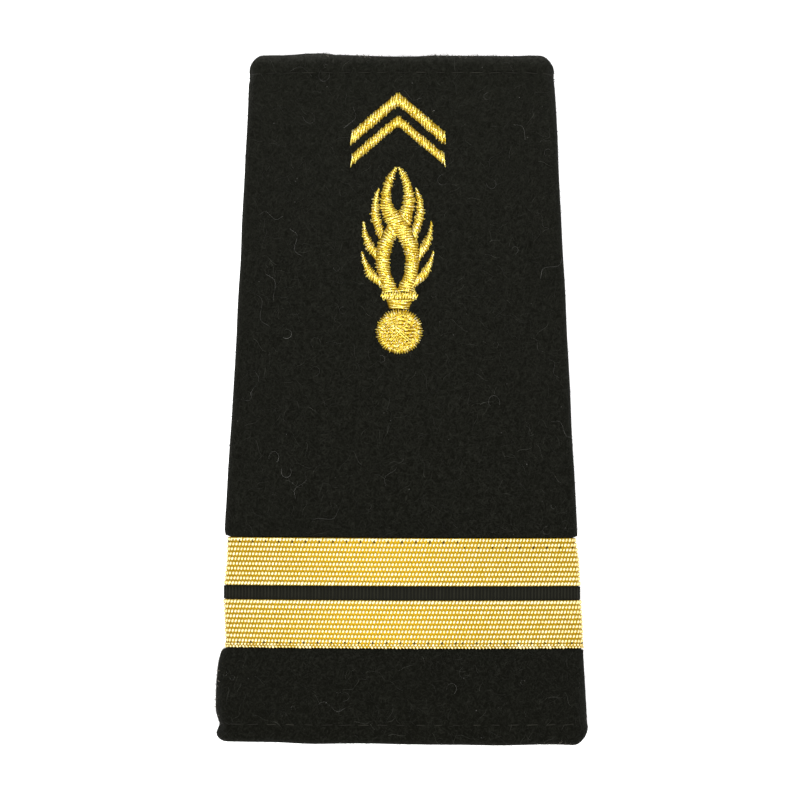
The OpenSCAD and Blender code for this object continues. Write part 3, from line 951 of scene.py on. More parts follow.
seam_thread, tree, shader = principled("seam_thread", Specular_IOR_Level=0.1, Roughness=0.7)
place = node(tree, "ShaderNodeSeparateXYZ", {"Vector": own_place(tree)})
twist = use_group(tree, yarn, {"Along": place.outputs["X"], "Twist": 0.0004,
                               "Round": math_node(tree, "MULTIPLY", place.outputs["Y"],
                                                  seam_plies_per_metre).outputs[0]})
tree.links.new(mix_colours(tree, own_tone(tree), (0.007, 0.0068, 0.005, 1),
                           (0.020, 0.0195, 0.0145, 1)), shader.inputs["Base Color"])
bumped(tree, shader, twist.outputs["Height"], 0.6, 0.00005)

# Painted shade: a dark brown mark where each needle hole is
needle_hole_shade, tree, shader = principled("needle_hole_shade", Specular_IOR_Level=0.1)
shade = node(tree, "ShaderNodeTexNoise", {"Vector": own_place(tree), "Scale": 900.0})
tree.links.new(mix_colours(tree, shade.outputs[0], (0.04, 0.024, 0.005, 1),
                           (0.10, 0.06, 0.010, 1)), shader.inputs["Base Color"])
tree.links.new(remap(tree, shade.outputs[0], 0, 1, 0.7, 1.0).outputs[0],
               shader.inputs["Roughness"])
print("dark materials:", ribbon_black.name, seam_thread.name, needle_hole_shade.name)

# %% [markdown]
# ## Small forms
#
# Thousands of copies share a few tiny shapes, so each shape has only a few dozen
# faces: a plump float of metal thread, a rib of black weave, a straight stitch and
# a needle hole. Each is drawn one unit wide, long and high, and the tree scales it.

# %% Forms for the rows
def lathe_form(name, rings, sides=8):
    """A closed form from rings of (half width, half length, height), from below up."""
    turns = np.arange(sides) * 2 * math.pi / sides
    points = [(w * math.cos(t), l * math.sin(t), h) for w, l, h in rings for t in turns]
    faces = [tuple(range(sides))[::-1],
             tuple(range((len(rings) - 1) * sides, len(rings) * sides))]
    faces += [(i * sides + j, i * sides + (j + 1) % sides,
               (i + 1) * sides + (j + 1) % sides, (i + 1) * sides + j)
              for i in range(len(rings) - 1) for j in range(sides)]
    thing = mesh_object(name, np.array(points) / MM, faces)
    scene.collection.objects.unlink(thing)
    # Share of the height from a form's foot to its top, by which some finishes paint shade and
    # highlight
    crown = np.repeat(np.linspace(0, 1, len(rings)), sides)
    thing.data.attributes.new("crown", "FLOAT", "POINT").data.foreach_set(
        "value", crown.astype(np.float32))
    return thing


def bar_form(name, sides=6, pieces=4, bend=0.0):
    """A rounded bar along X, its ends bent down into the cloth."""
    rings = []
    for i in range(pieces + 1):
        share = 2 * i / pieces - 1
        thick = 0.5 * (1 - 0.35 * share ** 4)
        rings.append([(share / 2, thick * math.cos(t), thick * math.sin(t) - bend * share ** 4)
                      for t in np.arange(sides) * 2 * math.pi / sides])
    faces = [(i * sides + j, i * sides + (j + 1) % sides,
              (i + 1) * sides + (j + 1) % sides, (i + 1) * sides + j)
             for i in range(pieces) for j in range(sides)]
    faces += [tuple(range(sides))[::-1], tuple(range(pieces * sides, (pieces + 1) * sides))]
    thing = mesh_object(name, np.concatenate(rings) / MM, faces)
    scene.collection.objects.unlink(thing)
    thing.data.attributes.new("crown", "FLOAT", "POINT").data.foreach_set(
        "value", np.ones(len(thing.data.vertices), np.float32))
    return thing


float_form = lathe_form("float_form", [
    (0.44, 0.46, -0.4), (0.5, 0.5, 0.1), (0.42, 0.37, 0.65), (0.25, 0.2, 0.95)])
rib_form = lathe_form("rib_form", [(0.5, 0.5, -0.5), (0.5, 0.5, 0.2), (0.3, 0.48, 0.8)], 8)
stitch_form = bar_form("stitch_form", bend=1.1)
hole_form = lathe_form("hole_form", [(0.5, 0.5, -0.5), (0.5, 0.5, 0.3), (0.3, 0.3, 0.5)], 8)
print("forms:", float_form.name, rib_form.name, stitch_form.name, hole_form.name)

# %% [markdown]
# ## The ribbon
#
# A loom weaves the ribbon in one piece: a black ground, two wide bands of gold, and
# a narrow black stripe of fine ribs between them. It is wrapped tightly round the
# sleeve, and its ends nearly meet behind. It could be a part of the felt's own
# mesh, but cloth has a thickness, which shows at its edges. So its ground is a thin
# closed strip on the same cuts as the felt, and all else is laid on that.

# %% Ground of the ribbon
def strip(name, line, material):
    """A closed strip round the sleeve from a closed line of (along, deep)."""
    line = np.array(line)
    places = around(front_n=120, fold_n=20, back_n=20)[1:]
    places = [("back", split_share)] + places + [("back", -split_share)]
    rows = [on_sleeve(line[:, 0], line[:, 1], *spot) for spot in places]
    count = len(line)
    faces = [(i * count + j, (i + 1) * count + j, (i + 1) * count + (j + 1) % count,
              i * count + (j + 1) % count)
             for i in range(len(rows) - 1) for j in range(count)]
    faces += [tuple(range(count)), tuple(range((len(rows) - 1) * count,
                                               len(rows) * count))[::-1]]
    return mesh_object(name, np.concatenate(rows), faces, material=material)


side_gap = 2 * lie_gap
stripe_from = ribbon_in + band_w
stripe_to = stripe_from + stripe_w
stripe_top = band_drop + stripe_drop
# Depth of the ground between the ribs, which stand on it
stripe_ground = stripe_top + 0.05
first, last = ribbon_in + side_gap, ribbon_end - side_gap
ribbon_ground = strip("ribbon_cloth", [
    (first, ground_top), (stripe_from - 0.02, ground_top), (stripe_from + 0.04, stripe_ground),
    (ribbon_mid, stripe_ground), (stripe_to - 0.04, stripe_ground),
    (stripe_to + 0.02, ground_top), (last, ground_top), (last, ground_floor),
    (ribbon_mid, ground_floor), (first, ground_floor)], ribbon_black)
print("ribbon_cloth:", len(ribbon_ground.data.polygons), "faces")

# %% [markdown]
# ## The gold bands
#
# In each gold band ten rows of metal thread float over the ground. A row starts
# about half a step further on than the one before it, like bricks. The row beside
# the stripe slants more, and the row at the ribbon's lower edge is braided. A bump
# map would look painted on, since real floats stand up and catch the lamp one by
# one. So the gold ground is corrugated row by row, and each float is a form of its
# own.

# %% Gold bands
row_count = 10
row_pitch = band_w / row_count
# Depth of the gold ground between rows, on a row's ridge and at the band's two edges
gap_deep, ridge_deep, rim_deep = band_drop + 0.2, band_drop + 0.125, band_drop + 0.14
float_deep = band_drop + 0.13
# Each next row of floats starts this share of a step further on
row_shift = 0.48
float_pitch = 0.53
float_size = (0.43, 0.70, 0.20)
float_turn = -22
edge_float_size = (0.48, 0.80, 0.24)
edge_float_turn = -36
braid_pitch = 0.53
braid_size = (0.36, 0.52, 0.24)
braid_turn = 40


def corrugated(name, start):
    """The gold ground of one band, a ridge under each row of floats."""
    line = []
    for i in range(row_count):
        low = start + i * row_pitch
        line += [(low + 0.02, gap_deep), (low + row_pitch * 0.3, ridge_deep),
                 (low + row_pitch * 0.7, ridge_deep)]
    line += [(start + band_w - 0.02, gap_deep)]
    line[0] = (start + side_gap * 0.6, rim_deep)
    line[-1] = (start + band_w - side_gap * 0.6, rim_deep)
    line += [(line[-1][0], band_drop + band_t), (line[0][0], band_drop + band_t)]
    return strip(name, line, ribbon_ground_gold)


def float_rows(name, start, stripe_above, seed):
    """The floats of one band: plain rows laid like bricks, a slanted one that borders
    the stripe, and on the band below the stripe a braided one at the ribbon's edge."""
    plain, border = [], []
    for i in range(1 if stripe_above else 0, row_count):
        by_stripe = i == (row_count - 1 if stripe_above else 0)
        path = ring_path(start + (i + 0.5) * row_pitch, float_deep, float_pitch,
                         row_shift * i)
        (border if by_stripe else plain).append(path)
    rows = [lined_up(name + "_rows", plain, float_form, float_pitch, float_size, ribbon_gold,
                     turn=float_turn, turn_jitter=8, size_jitter=0.09, seed=seed),
            lined_up(name + "_border", border, float_form, float_pitch, edge_float_size,
                     ribbon_gold, turn=edge_float_turn, turn_jitter=6, size_jitter=0.08,
                     seed=seed + 1)]
    for share, turn in ((0.25, braid_turn), (0.75, -braid_turn)) if stripe_above else ():
        path = ring_path(start + share * row_pitch, float_deep, braid_pitch, share)
        rows.append(lined_up(f"{name}_braid_{turn}", [path], float_form, braid_pitch,
                             braid_size, ribbon_gold, turn=turn, turn_jitter=18,
                             size_jitter=0.28, seed=seed + 2))
    return join(name, rows)


bands = []
for name, start, above, seed in (("gold_band_upper_weave", stripe_to, False, 11),
                                 ("gold_band_lower_weave", ribbon_in, True, 21)):
    body = corrugated(name + "_ground", start)
    bands.append(join(name, [float_rows(name + "_floats", start, above, seed), body]))
ribs = lined_up("stripe_ribs", [ring_path(ribbon_mid, stripe_ground, float_pitch)],
                rib_form, float_pitch, (float_pitch * 0.74, stripe_w - 0.12, 0.12),
                ribbon_black, size_jitter=0.03, seed=31)
print("bands:", [b.name for b in bands], "and", ribs.name)

# %% [markdown]
# ## Seams
#
# The ribbon's edges are sewn to the felt with a lockstitch, of which little shows
# but its holes. The hems are sewn with dark thread that sinks into the felt. A
# painted line would do from afar, but a real stitch bends down at both ends and
# casts a small shadow. So stitches and holes are forms as well, and the tree that
# laid the floats lays them too.

# %% Seams of the ribbon and the hems
seam_pitch = 2.12
# The ribbon's upper seam begins and ends at this place across. Left of it the thread
# shows beside its holes, and right of it only the holes, further down the band
seam_step_x = 8.8
# How far below its highest place the face is still searched for that step
front_fall = 2
seam_deep = band_drop + 0.01
hole_size = (0.23, 0.29, 0.23)
gold_stitch_size = (1.9, 0.17, 0.17)
hem_stitch_size = (2.0, 0.15, 0.15)
# The hem threads' places from the two ends, and how deep they lie in the felt
outer_seam_in, outer_seam_deep = stitch_in + 0.3, 0.13
collar_seam_in, collar_seam_deep = stitch_in + 0.13, 0.04
seam_rows = []


def stepped(first, then):
    """A path that changes from one line to another on the face, where a seam began."""
    points = first[0]
    on_front = points[:, 2] > cut(ribbon_end)["high"] - front_fall
    turned_at = np.nonzero(on_front & (points[:, 0] < seam_step_x))[0][0]
    return [(first[0][:turned_at], first[1][:turned_at]),
            (then[0][turned_at:], then[1][turned_at:])]


for name, right_place, left_place, offset in (
        ("seam_upper", ribbon_end - 1.5, ribbon_end - 0.26, 0.5),
        ("seam_upper_holes", ribbon_end - 1.5, ribbon_end - 0.7, 0.0),
        ("seam_lower_holes", ribbon_in + 0.86, ribbon_in + 0.86, 0.3)):
    holes = name.endswith("holes")
    route = stepped(*(ring_path(place, seam_deep, seam_pitch, offset)
                      for place in (right_place, left_place)))
    seam_rows.append(lined_up(
        name, route if holes else route[1:], hole_form if holes else stitch_form, seam_pitch,
        hole_size if holes else gold_stitch_size,
        needle_hole_shade if holes else ribbon_gold, turn_jitter=20 if holes else 2,
        size_jitter=0.25 if holes else 0.05, seed=43))
hem_seams = []
for name, along, deep in (("hem_seam_outer", outer_seam_in, outer_seam_deep),
                          ("hem_seam_collar", board_l - collar_seam_in, collar_seam_deep)):
    hem_seams.append(lined_up(
        name, [ring_path(along, deep, hem_stitch, 0.5)], stitch_form, hem_stitch,
        hem_stitch_size, seam_thread, turn_jitter=4, size_jitter=0.15, seed=51))
print("seams:", len(seam_rows) + len(hem_seams))

# %% [markdown]
# ## A tree for satin stitch
#
# The badge is machine satin stitch. A needle carries gold thread back and forth
# between the two edges of a shape, over a padding of earlier stitches. Each thread
# climbs out of the felt, crosses the padded crown and dives in again, and the next
# one leans the other way. That gives the sawn edges and the silky shine across. A
# bump map can't fray an edge, so every thread is a thin tube. Python lays the
# lines, and this tree frays their ends, sways them, gives each its own tone, and
# wraps them in tubes.

# %% Satin tree
satin, take, give = new_group(
    "satin stitch", "GeometryNodeTree",
    [("Lines", "Geometry", None), ("Thread Radius", "Float", 0.00012),
     ("Flatness", "Float", 0.8), ("Ragged", "Float", 0.0001), ("Sway", "Float", 0.00005),
     ("Tone Most", "Float", 1.0), ("Seed", "Int", 1), ("Thread Material", "Material", None),
     ("Padding Material", "Material", None)],
    [("Geometry", "Geometry")])
is_thread = node(satin, "GeometryNodeInputNamedAttribute", {"Name": "thread"},
                 data_type="BOOLEAN")
parts = node(satin, "GeometryNodeSeparateGeometry", {
    "Geometry": take["Lines"], "Selection": is_thread}, domain="POINT")
curves = node(satin, "GeometryNodeMeshToCurve", {"Mesh": parts.outputs["Selection"]})
tangent = node(satin, "GeometryNodeInputTangent")
ends = node(satin, "GeometryNodeCurveEndpointSelection", {"Start Size": 2, "End Size": 2})
which = node(satin, "GeometryNodeCurveOfPoint").outputs["Curve Index"]
place_on = node(satin, "GeometryNodeSplineParameter")
which_end = math_node(satin, "ADD", math_node(satin, "MULTIPLY", which, 2.0),
                      math_node(satin, "ROUND", place_on.outputs["Factor"]))
fray = node(satin, "FunctionNodeRandomValue", {
    "Min": -1.0, "Max": 1.0, "ID": which_end, "Seed": take["Seed"]}, data_type="FLOAT")
long_ones = remap(satin, node(satin, "GeometryNodeSplineLength").outputs["Length"],
                  0.0, 0.0018, 0.2, 1.0)
over_face = vector_node(satin, "NORMALIZE", vector_node(satin, "MULTIPLY", tangent, (1, 1, 0)))
frayed = node(satin, "GeometryNodeSetPosition", {
    "Geometry": curves, "Selection": ends, "Offset": vector_node(
        satin, "SCALE", over_face, Scale=math_node(satin, "MULTIPLY", math_node(
            satin, "MULTIPLY", fray, long_ones), take["Ragged"]))})
drift = node(satin, "FunctionNodeRandomValue", {
    "Min": -1.0, "Max": 1.0, "ID": which, "Seed": math_node(satin, "ADD", take["Seed"], 3)},
    data_type="FLOAT")
arch = math_node(satin, "SINE", math_node(satin, "MULTIPLY", place_on.outputs["Factor"],
                                          math.pi))
aside = vector_node(satin, "CROSS_PRODUCT", tangent, (0, 0, 1))
lifted = vector_node(satin, "ADD", aside, vector_node(satin, "SCALE", (0, 0, 1), Scale=0.35))
swayed = node(satin, "GeometryNodeSetPosition", {
    "Geometry": frayed, "Offset": vector_node(satin, "SCALE", lifted, Scale=math_node(
        satin, "MULTIPLY", math_node(satin, "MULTIPLY", drift, arch), take["Sway"]))})
least = node(satin, "GeometryNodeInputNamedAttribute", {"Name": "tone"}, data_type="FLOAT")
tone = node(satin, "FunctionNodeRandomValue", {
    "Min": least.outputs[0], "Max": take["Tone Most"], "ID": which,
    "Seed": math_node(satin, "ADD", take["Seed"], 5)}, data_type="FLOAT")
toned = node(satin, "GeometryNodeStoreNamedAttribute", {
    "Geometry": swayed, "Name": "tone", "Value": tone}, data_type="FLOAT", domain="POINT")
measured = node(satin, "GeometryNodeStoreNamedAttribute", {
    "Geometry": toned, "Name": "run", "Value": place_on.outputs["Length"]},
    data_type="FLOAT", domain="POINT")
sides = 7
circle = node(satin, "GeometryNodeCurvePrimitiveCircle", {
    "Resolution": sides, "Radius": take["Thread Radius"]}, mode="RADIUS")
rounded = node(satin, "GeometryNodeStoreNamedAttribute", {
    "Geometry": circle, "Name": "round", "Value": math_node(
        satin, "DIVIDE", node(satin, "GeometryNodeInputIndex"), float(sides))},
    data_type="FLOAT", domain="POINT")
oval = node(satin, "GeometryNodeTransform", {
    "Geometry": rounded, "Scale": node(satin, "ShaderNodeCombineXYZ", {
        "X": take["Flatness"], "Y": 1.0, "Z": 1.0})})
tubes = node(satin, "GeometryNodeCurveToMesh", {
    "Curve": node(satin, "GeometryNodeSetCurveNormal", {"Curve": measured}, mode="Z_UP"),
    "Profile Curve": oval, "Fill Caps": True})
both = node(satin, "GeometryNodeJoinGeometry")
for geometry in (parts.outputs["Inverted"], tubes.outputs[0]):
    satin.links.new(geometry, both.inputs[0])
real = node(satin, "GeometryNodeRealizeInstances", {
    "Geometry": node(satin, "GeometryNodeSetShadeSmooth", {0: both})})
padded = node(satin, "GeometryNodeSetMaterial", {
    "Geometry": real, "Material": take["Padding Material"]})
satin.links.new(node(satin, "GeometryNodeSetMaterial", {
    "Geometry": padded, "Selection": is_thread,
    "Material": take["Thread Material"]}).outputs[0], give.inputs[0])
print(satin.name + ":", len(satin.nodes), "nodes")

# %% [markdown]
# ## Shapes of the badge
#
# The badge has two chevrons and a flaming grenade, a traditional ornament of
# uniforms. The shapes follow the solid: each stroke is a list of rows that give
# its left and right edge, and a smooth curve is drawn through them. Shares of half
# the flame's width and of its height keep them easy to read. Some sizes are up to
# 0.35 mm off the solid's, to allow for ragged thread ends, and because the ball,
# the neck and the bar close up on each other here.

# %% Sizes of the badge, in millimetres
# How far the upper chevron's point is from the collar's end, its width and its rise
chevron_in, chevron_w, chevron_rise = 5.75, 14.35, 6.1
# The two strokes' thickness along the board, and the step from one to the other
upper_stroke, lower_stroke, chevron_step = 1.9, 1.6, 3.45
# The flame's distance from the lower chevron, its height and its width
flame_drop, flame_h, flame_w = 6.2, 19.15, 11.0
bar_w, bar_h, neck_w, neck_h = 5.6, 1.05, 4.0, 1.45
ball_w, ball_h = 7.1, 6.8
# The badge lies left of the board's middle line, and the ball and the chevrons lie a
# little right of the flame's
emblem_left, ball_right = 0.6, 0.25
chevron_right = 0.07
# Height of the padded threads, the gap between two pieces, and the width from which a
# stroke has its full height
thread_lift, thread_gap = 0.5, 0.03
satin_full_w = 2.2 * thread_lift
upper_point = board_l / 2 - chevron_in
lower_point = upper_point - chevron_step
flame_tip = lower_point - lower_stroke - flame_drop
flame_base = flame_tip - flame_h
ball_x = ball_right - emblem_left
bar_top = flame_base - thread_gap
neck_top = bar_top - bar_h - thread_gap
ball_top = neck_top - neck_h - thread_gap
ball_y = ball_top - ball_h / 2

# A row holds the left edge's place across and up, and the right edge's
upper_loop = [(-0.05, 0.995, -0.01, 0.995), (-0.28, 0.92, -0.11, 0.9),
              (-0.43, 0.8, -0.185, 0.8), (-0.46, 0.69, -0.155, 0.7)]
crossing = [(-0.37, 0.59, 0, 0.64), (-0.18, 0.51, 0.25, 0.55), (0.02, 0.43, 0.43, 0.46)]
lower_loop = [(0.17, 0.345, 0.56, 0.355), (0.23, 0.245, 0.6, 0.245),
              (0.19, 0.15, 0.54, 0.14), (0.05, 0.05, 0.44, 0.035), (-0.03, 0.006, 0.43, -0.004)]
right_end = [(0.12, 0.67, 0.42, 0.63), (0.07, 0.635, 0.36, 0.545)]
left_start = [(-0.31, 0.515, -0.06, 0.45), (-0.44, 0.44, -0.1, 0.41)]
tongue_shapes = dict(
    top=[(0.5, 0.83, 0.53, 0.825), (0.54, 0.73, 0.67, 0.74), (0.52, 0.62, 0.725, 0.6),
         (0.41, 0.505, 0.53, 0.43)],
    middle=[(0.925, 0.562, 0.95, 0.56), (0.86, 0.48, 0.96, 0.47), (0.73, 0.405, 0.88, 0.36),
            (0.61, 0.35, 0.64, 0.265)],
    low=[(0.98, 0.325, 1, 0.322), (0.88, 0.26, 0.96, 0.235), (0.72, 0.185, 0.82, 0.12),
         (0.56, 0.13, 0.45, 0.04)])
# Shares: a place along the bar and its height, then one down the neck and its width
bar_shape = [(-1, 0.3), (-0.9, 0.8), (-0.7, 1), (0, 1), (0.7, 1), (0.9, 0.8), (1, 0.3)]
neck_shape = [(0, 1), (0.5, 0.84), (1, 0.75)]


def mirrored(rows):
    """The rows of the stroke on the other side."""
    return [(-c, d, -a, b) for a, b, c, d in rows]


def smoothed(rows, steps=8):
    """A smooth curve through the rows."""
    rows = [np.array(r) for r in rows]
    ahead = [rows[0]] + rows + [rows[-1]]
    found = []
    for before, start, end, after in zip(ahead, ahead[1:], ahead[2:], ahead[3:]):
        for u in np.arange(steps) / steps:
            found.append(start + (end - before) * u / 2
                         + (2 * before - 5 * start + 4 * end - after) * u ** 2 / 2
                         + (3 * start - before - 3 * end + after) * u ** 3 / 2)
    return np.array(found + [rows[-1]])


def strand(rows):
    """A stroke of the flame in millimetres, through rows that are shares."""
    rows = smoothed(rows)
    rows[:, 0::2] = rows[:, 0::2] * flame_w / 2 - emblem_left
    rows[:, 1::2] = rows[:, 1::2] * flame_h + flame_base
    return rows


def chevron(point_y, stroke):
    """Rows from a chevron's left end over its point to its right end."""
    share = np.linspace(-1, 1, 41)
    x = chevron_w / 2 * share - emblem_left + chevron_right
    y = point_y - chevron_rise * np.hypot(share, 0.035)
    return np.stack([x, y - stroke, x, y], -1)


def longer(rows, more):
    """The stroke with its end carried on, to run under the next one."""
    step = rows[-1] - rows[-2]
    return np.concatenate([rows, [rows[-1] + step * more * 2 / np.linalg.norm(
        step[:2] + step[2:])]])


# How far the hidden ends of two strokes and of the tongues run on
under, tongue_under = 0.45, 0.3
strokes = dict(
    chevron_upper=chevron(upper_point, upper_stroke),
    chevron_lower=chevron(lower_point, lower_stroke),
    flame_cross=strand(upper_loop + crossing + lower_loop),
    flame_right=longer(strand(mirrored(upper_loop) + right_end), under),
    flame_left=longer(strand(left_start + mirrored(lower_loop))[::-1], under))
for which_one, rows in tongue_shapes.items():
    strokes[f"tongue_{which_one}_left"] = longer(strand(mirrored(rows)), tongue_under)
    strokes[f"tongue_{which_one}_right"] = longer(strand(rows), tongue_under)
strokes["flame_bar"] = np.array([
    (ball_x + p * bar_w / 2, bar_top - bar_h / 2 - q * bar_h / 2,
     ball_x + p * bar_w / 2, bar_top - bar_h / 2 + q * bar_h / 2) for p, q in bar_shape])
strokes["neck"] = np.array([
    (ball_x - q * neck_w / 2, neck_top - p * neck_h, ball_x + q * neck_w / 2,
     neck_top - p * neck_h) for p, q in neck_shape])
print("strokes:", len(strokes), "and the ball")

# %% [markdown]
# ## Stitch the badge
#
# A stroke's threads run from edge to edge in a zigzag. Where a stroke is wide the
# padding lifts it by half a millimetre, and a thin stroke lies lower. Each thread
# could be drawn as a curve by hand, but there are hundreds of them. So they are
# worked out from the two edges: Python walks along a stroke and sets one thread
# after another.

# %% Lines for the threads
thread_r = 0.12
# How far a thread's middle lies below the height that its padding lifts it to
thread_sink = 0.8 * thread_r
# Length of stroke that a zigzag of two threads covers, at most strokes and at some
zigzag = 0.39
zigzags = dict(chevron_upper=0.52, chevron_lower=0.52)
# Share of the zigzag's length by which a thread leans to either side
lean_share = 0.4
# How far the threads reach past the edges of most strokes and of some, and the most
# that they lose at each edge of a narrow stroke, as a share of its width
plain_reach = -0.03
reaches = dict(flame_bar=0.05)
most_lost = 0.3
# How much further along a stroke the threads' right ends lie
plain_slant = 0.2
slants = dict(chevron_upper=0.15, chevron_lower=0.15, flame_cross=0.3, flame_right=-0.3,
              flame_left=-0.3, neck=0.1)
hidden_ends = ("flame_right", "flame_left")
# Height of a thread from end to end: share of its length, share of its lift
dive = [(0, -0.3), (0.05, 0.45), (0.16, 0.82), (0.5, 1), (0.84, 0.82), (0.95, 0.45), (1, -0.3)]


def thread_line(start, end, lift, count=9):
    """A thread over the padding from one place on the face to another. Its points lie
    closer together where it dives."""
    share = 0.5 - 0.5 * np.cos(np.linspace(0, math.pi, count))
    x, y = (start[k] + (end[k] - start[k]) * share for k in range(2))
    z = front_z(x, y) + lie_gap + np.interp(share, *zip(*dive)) * lift - thread_sink
    return np.stack([x, y, z], -1)


def at_stops(rows, stops):
    """A stroke's two edges at some shares of its length."""
    middle = (rows[:, :2] + rows[:, 2:]) / 2
    walk = np.concatenate([[0], np.cumsum(np.linalg.norm(np.diff(middle, axis=0), axis=1))])
    return np.stack([np.interp(stops * walk[-1], walk, rows[:, k]) for k in range(4)], -1)


def stroke_length(rows):
    """Length of a stroke along its middle."""
    middle = (rows[:, :2] + rows[:, 2:]) / 2
    return np.linalg.norm(np.diff(middle, axis=0), axis=1).sum()


def lift_at(width, to_end, hidden):
    """Height of the padding: a thin stroke lies lower, and so does a hidden end."""
    return (thread_lift * min(1, width / satin_full_w)
            * (min(1, 0.3 + 0.7 * max(0, to_end)) if hidden else 1))


def satin_lines(name, rows, hidden=False):
    """Threads between the two edges of a stroke, each next one leaning the other way.
    The slant says how much further along the stroke their right ends lie."""
    length = stroke_length(rows)
    step = zigzags.get(name, zigzag)
    reach = reaches.get(name, plain_reach)
    count = max(3, round(2 * length / step))
    lines = []
    for k in range(count):
        middle = (k + 0.5) / count
        lean = (-1) ** k * step * lean_share
        half = (slants.get(name, plain_slant) / 2 + lean) / length
        here, there = at_stops(rows, np.array([middle - half, middle + half]))
        start, end = here[:2], there[2:]
        width = np.linalg.norm(end - start)
        more = max(reach / width, -most_lost) * (end - start)
        start, end = start - more, end + more
        lines.append(thread_line(start, end, lift_at(width, (1 - middle) * length, hidden)))
    return lines


def padding_rows(rows, hidden=False, fringe=0.01, lower=0.13):
    """The padding under a stroke: a closed low dome that lies lower than the threads."""
    found = []
    length = stroke_length(rows)
    places = np.linspace(0.01, 0.99, max(4, len(rows)))
    for place, row in zip(places, at_stops(rows, places)):
        left, right = row[:2], row[2:]
        width = max(0.05, np.linalg.norm(right - left))
        lift = lift_at(width, (1 - place) * length, hidden)
        edge = fringe / width
        top = []
        for share, rise in ((-edge, 0), (0.4 * edge, 0.1), (0.25, 0.84), (0.5, 1), (0.75, 0.84),
                            (1 - 0.4 * edge, 0.1), (1 + edge, 0)):
            x, y = right + (left - right) * share
            top.append((x, y, front_z(x, y) + lie_gap + max(0.02, rise * lift - lower)))
        found.append(top + [(x, y, front_z(x, y) - 0.05) for x, y, _ in top[::-1]])
    return np.array(found)


def stitched(name, lines, rows, seed, pale=None, least=0.0, most=1.0, ragged=0.25,
             sway=0.08, radius=thread_r):
    """One embroidered piece from its thread lines and its padding. The padding is pale
    inside and painted dark at its rim, as painted shade round the stroke, and a
    thread's tone lies between the least and the most."""
    points, edges = list(np.concatenate(rows)), []
    around_n, count = rows.shape[1], rows.shape[0]
    faces = [(i * around_n + j, (i + 1) * around_n + j,
              (i + 1) * around_n + (j + 1) % around_n, i * around_n + (j + 1) % around_n)
             for i in range(count - 1) for j in range(around_n)]
    faces += [tuple(range(around_n)),
              tuple(range((count - 1) * around_n, count * around_n))[::-1]]
    padding_count = len(points)
    for line in lines:
        edges += [(len(points) + i, len(points) + i + 1) for i in range(len(line) - 1)]
        points += list(line)
    source = mesh_object(name + "_lines", points, faces, edges)
    flags = np.arange(len(points)) >= padding_count
    source.data.attributes.new("thread", "BOOLEAN", "POINT").data.foreach_set("value", flags)
    tones = np.zeros(len(points), np.float32)
    if pale is None:
        pale = np.isin(np.arange(padding_count) % around_n, (2, 3, 4))
    tones[:padding_count] = pale
    tones[padding_count:] = np.repeat(np.broadcast_to(least, len(lines)),
                                      [len(line) for line in lines])
    source.data.attributes.new("tone", "FLOAT", "POINT").data.foreach_set("value", tones)
    thing = grown(name, source, satin, {
        "Thread Radius": radius * MM, "Ragged": ragged * MM, "Sway": sway * MM,
        "Tone Most": most, "Seed": seed, "Thread Material": gold_thread,
        "Padding Material": gold_padding})
    drop(source)
    return thing


# %% Stitch the strokes
badge = {}
for seed, (name, rows) in enumerate(strokes.items(), 100):
    is_hidden = name in hidden_ends
    badge[name] = stitched(name + "_threads", satin_lines(name, rows, is_hidden),
                           padding_rows(rows, is_hidden), seed,
                           least=0.5 if name == "flame_bar" else 0.0)

# %% [markdown]
# ## The ball
#
# The ball has no two edges for a zigzag to run between, so it is stitched in
# sectors: threads across its middle, slanting ones from the lower left, arcs across
# the top, short spokes round the rim, and three long threads crossed over them all.
# Threads laid at random would look like a nest. So each sector follows a short rule
# of its own. The ball stands a little taller than its solid.

# %% Stitch the ball
# Height of the ball from its middle outward: share of half its size, share of the lift
ball_rise = [(0, 1.05), (0.62, 1), (0.9, 0.8), (0.98, 0.35), (1.04, -0.4)]
ball_thread_r = 0.098


def on_ball(turn, share):
    """A place on the ball: its direction, and its share of the half size."""
    return np.array([ball_x + share * ball_w / 2 * math.cos(turn),
                     ball_y + share * ball_h / 2 * math.sin(turn)])


def ball_line(start, end, more=0.0, count=9, bow=(0, 0)):
    """A thread over the ball, more above its surface, with both ends tucked in."""
    share = np.linspace(0, 1, count)
    x, y = (start[k] + (end[k] - start[k]) * share + bow[k] * 4 * share * (1 - share)
            for k in range(2))
    out_by = np.hypot((x - ball_x) / (ball_w / 2), (y - ball_y) / (ball_h / 2))
    z = front_z(x, y) + lie_gap + lookup(out_by, ball_rise) * thread_lift - thread_sink
    tuck = np.clip(1 - np.minimum(share, 1 - share) / 0.08, 0, 1)
    return np.stack([x, y, z + more * (1 - tuck) - 0.12 * tuck], -1)


def across_ball(start, end, more=0.0, bow=0.0):
    """A thread between two places given as shares of the ball's half size."""
    (x0, y0), (x1, y1) = start, end
    w, h = ball_w / 2, ball_h / 2
    return ball_line((ball_x + x0 * w, ball_y + y0 * h), (ball_x + x1 * w, ball_y + y1 * h),
                     more, bow=(0, bow * h))


# Places on the ball are shares of its half size, and heights are in millimetres
inner_share = 0.76
levels = np.arange(-0.7, 0.73, 0.072)
slanting, arcs, spokes = 17, 9, 112
inner_ends = (0.7, 0.62, 0.66, 0.76)
long_threads = (((-0.5, 0.46), (0.5, -0.54)), ((-0.42, 0.5), (0.56, -0.46)),
                ((0.44, 0.46), (-0.4, -0.46)))
# Padding of the ball from its rim inward: share, height in lifts; and each ring's tone,
# which is dark at the rim as painted shade round the ball
ball_sides = 48
padding_rings = ((0.98, -0.12), (0.98, 0.0), (0.9, 0.12), (0.88, 0.5), (0.62, 0.72), (0.2, 0.78))
ring_tones = (0, 0, 0, 0.1, 0.15, 0.15)

lines = []
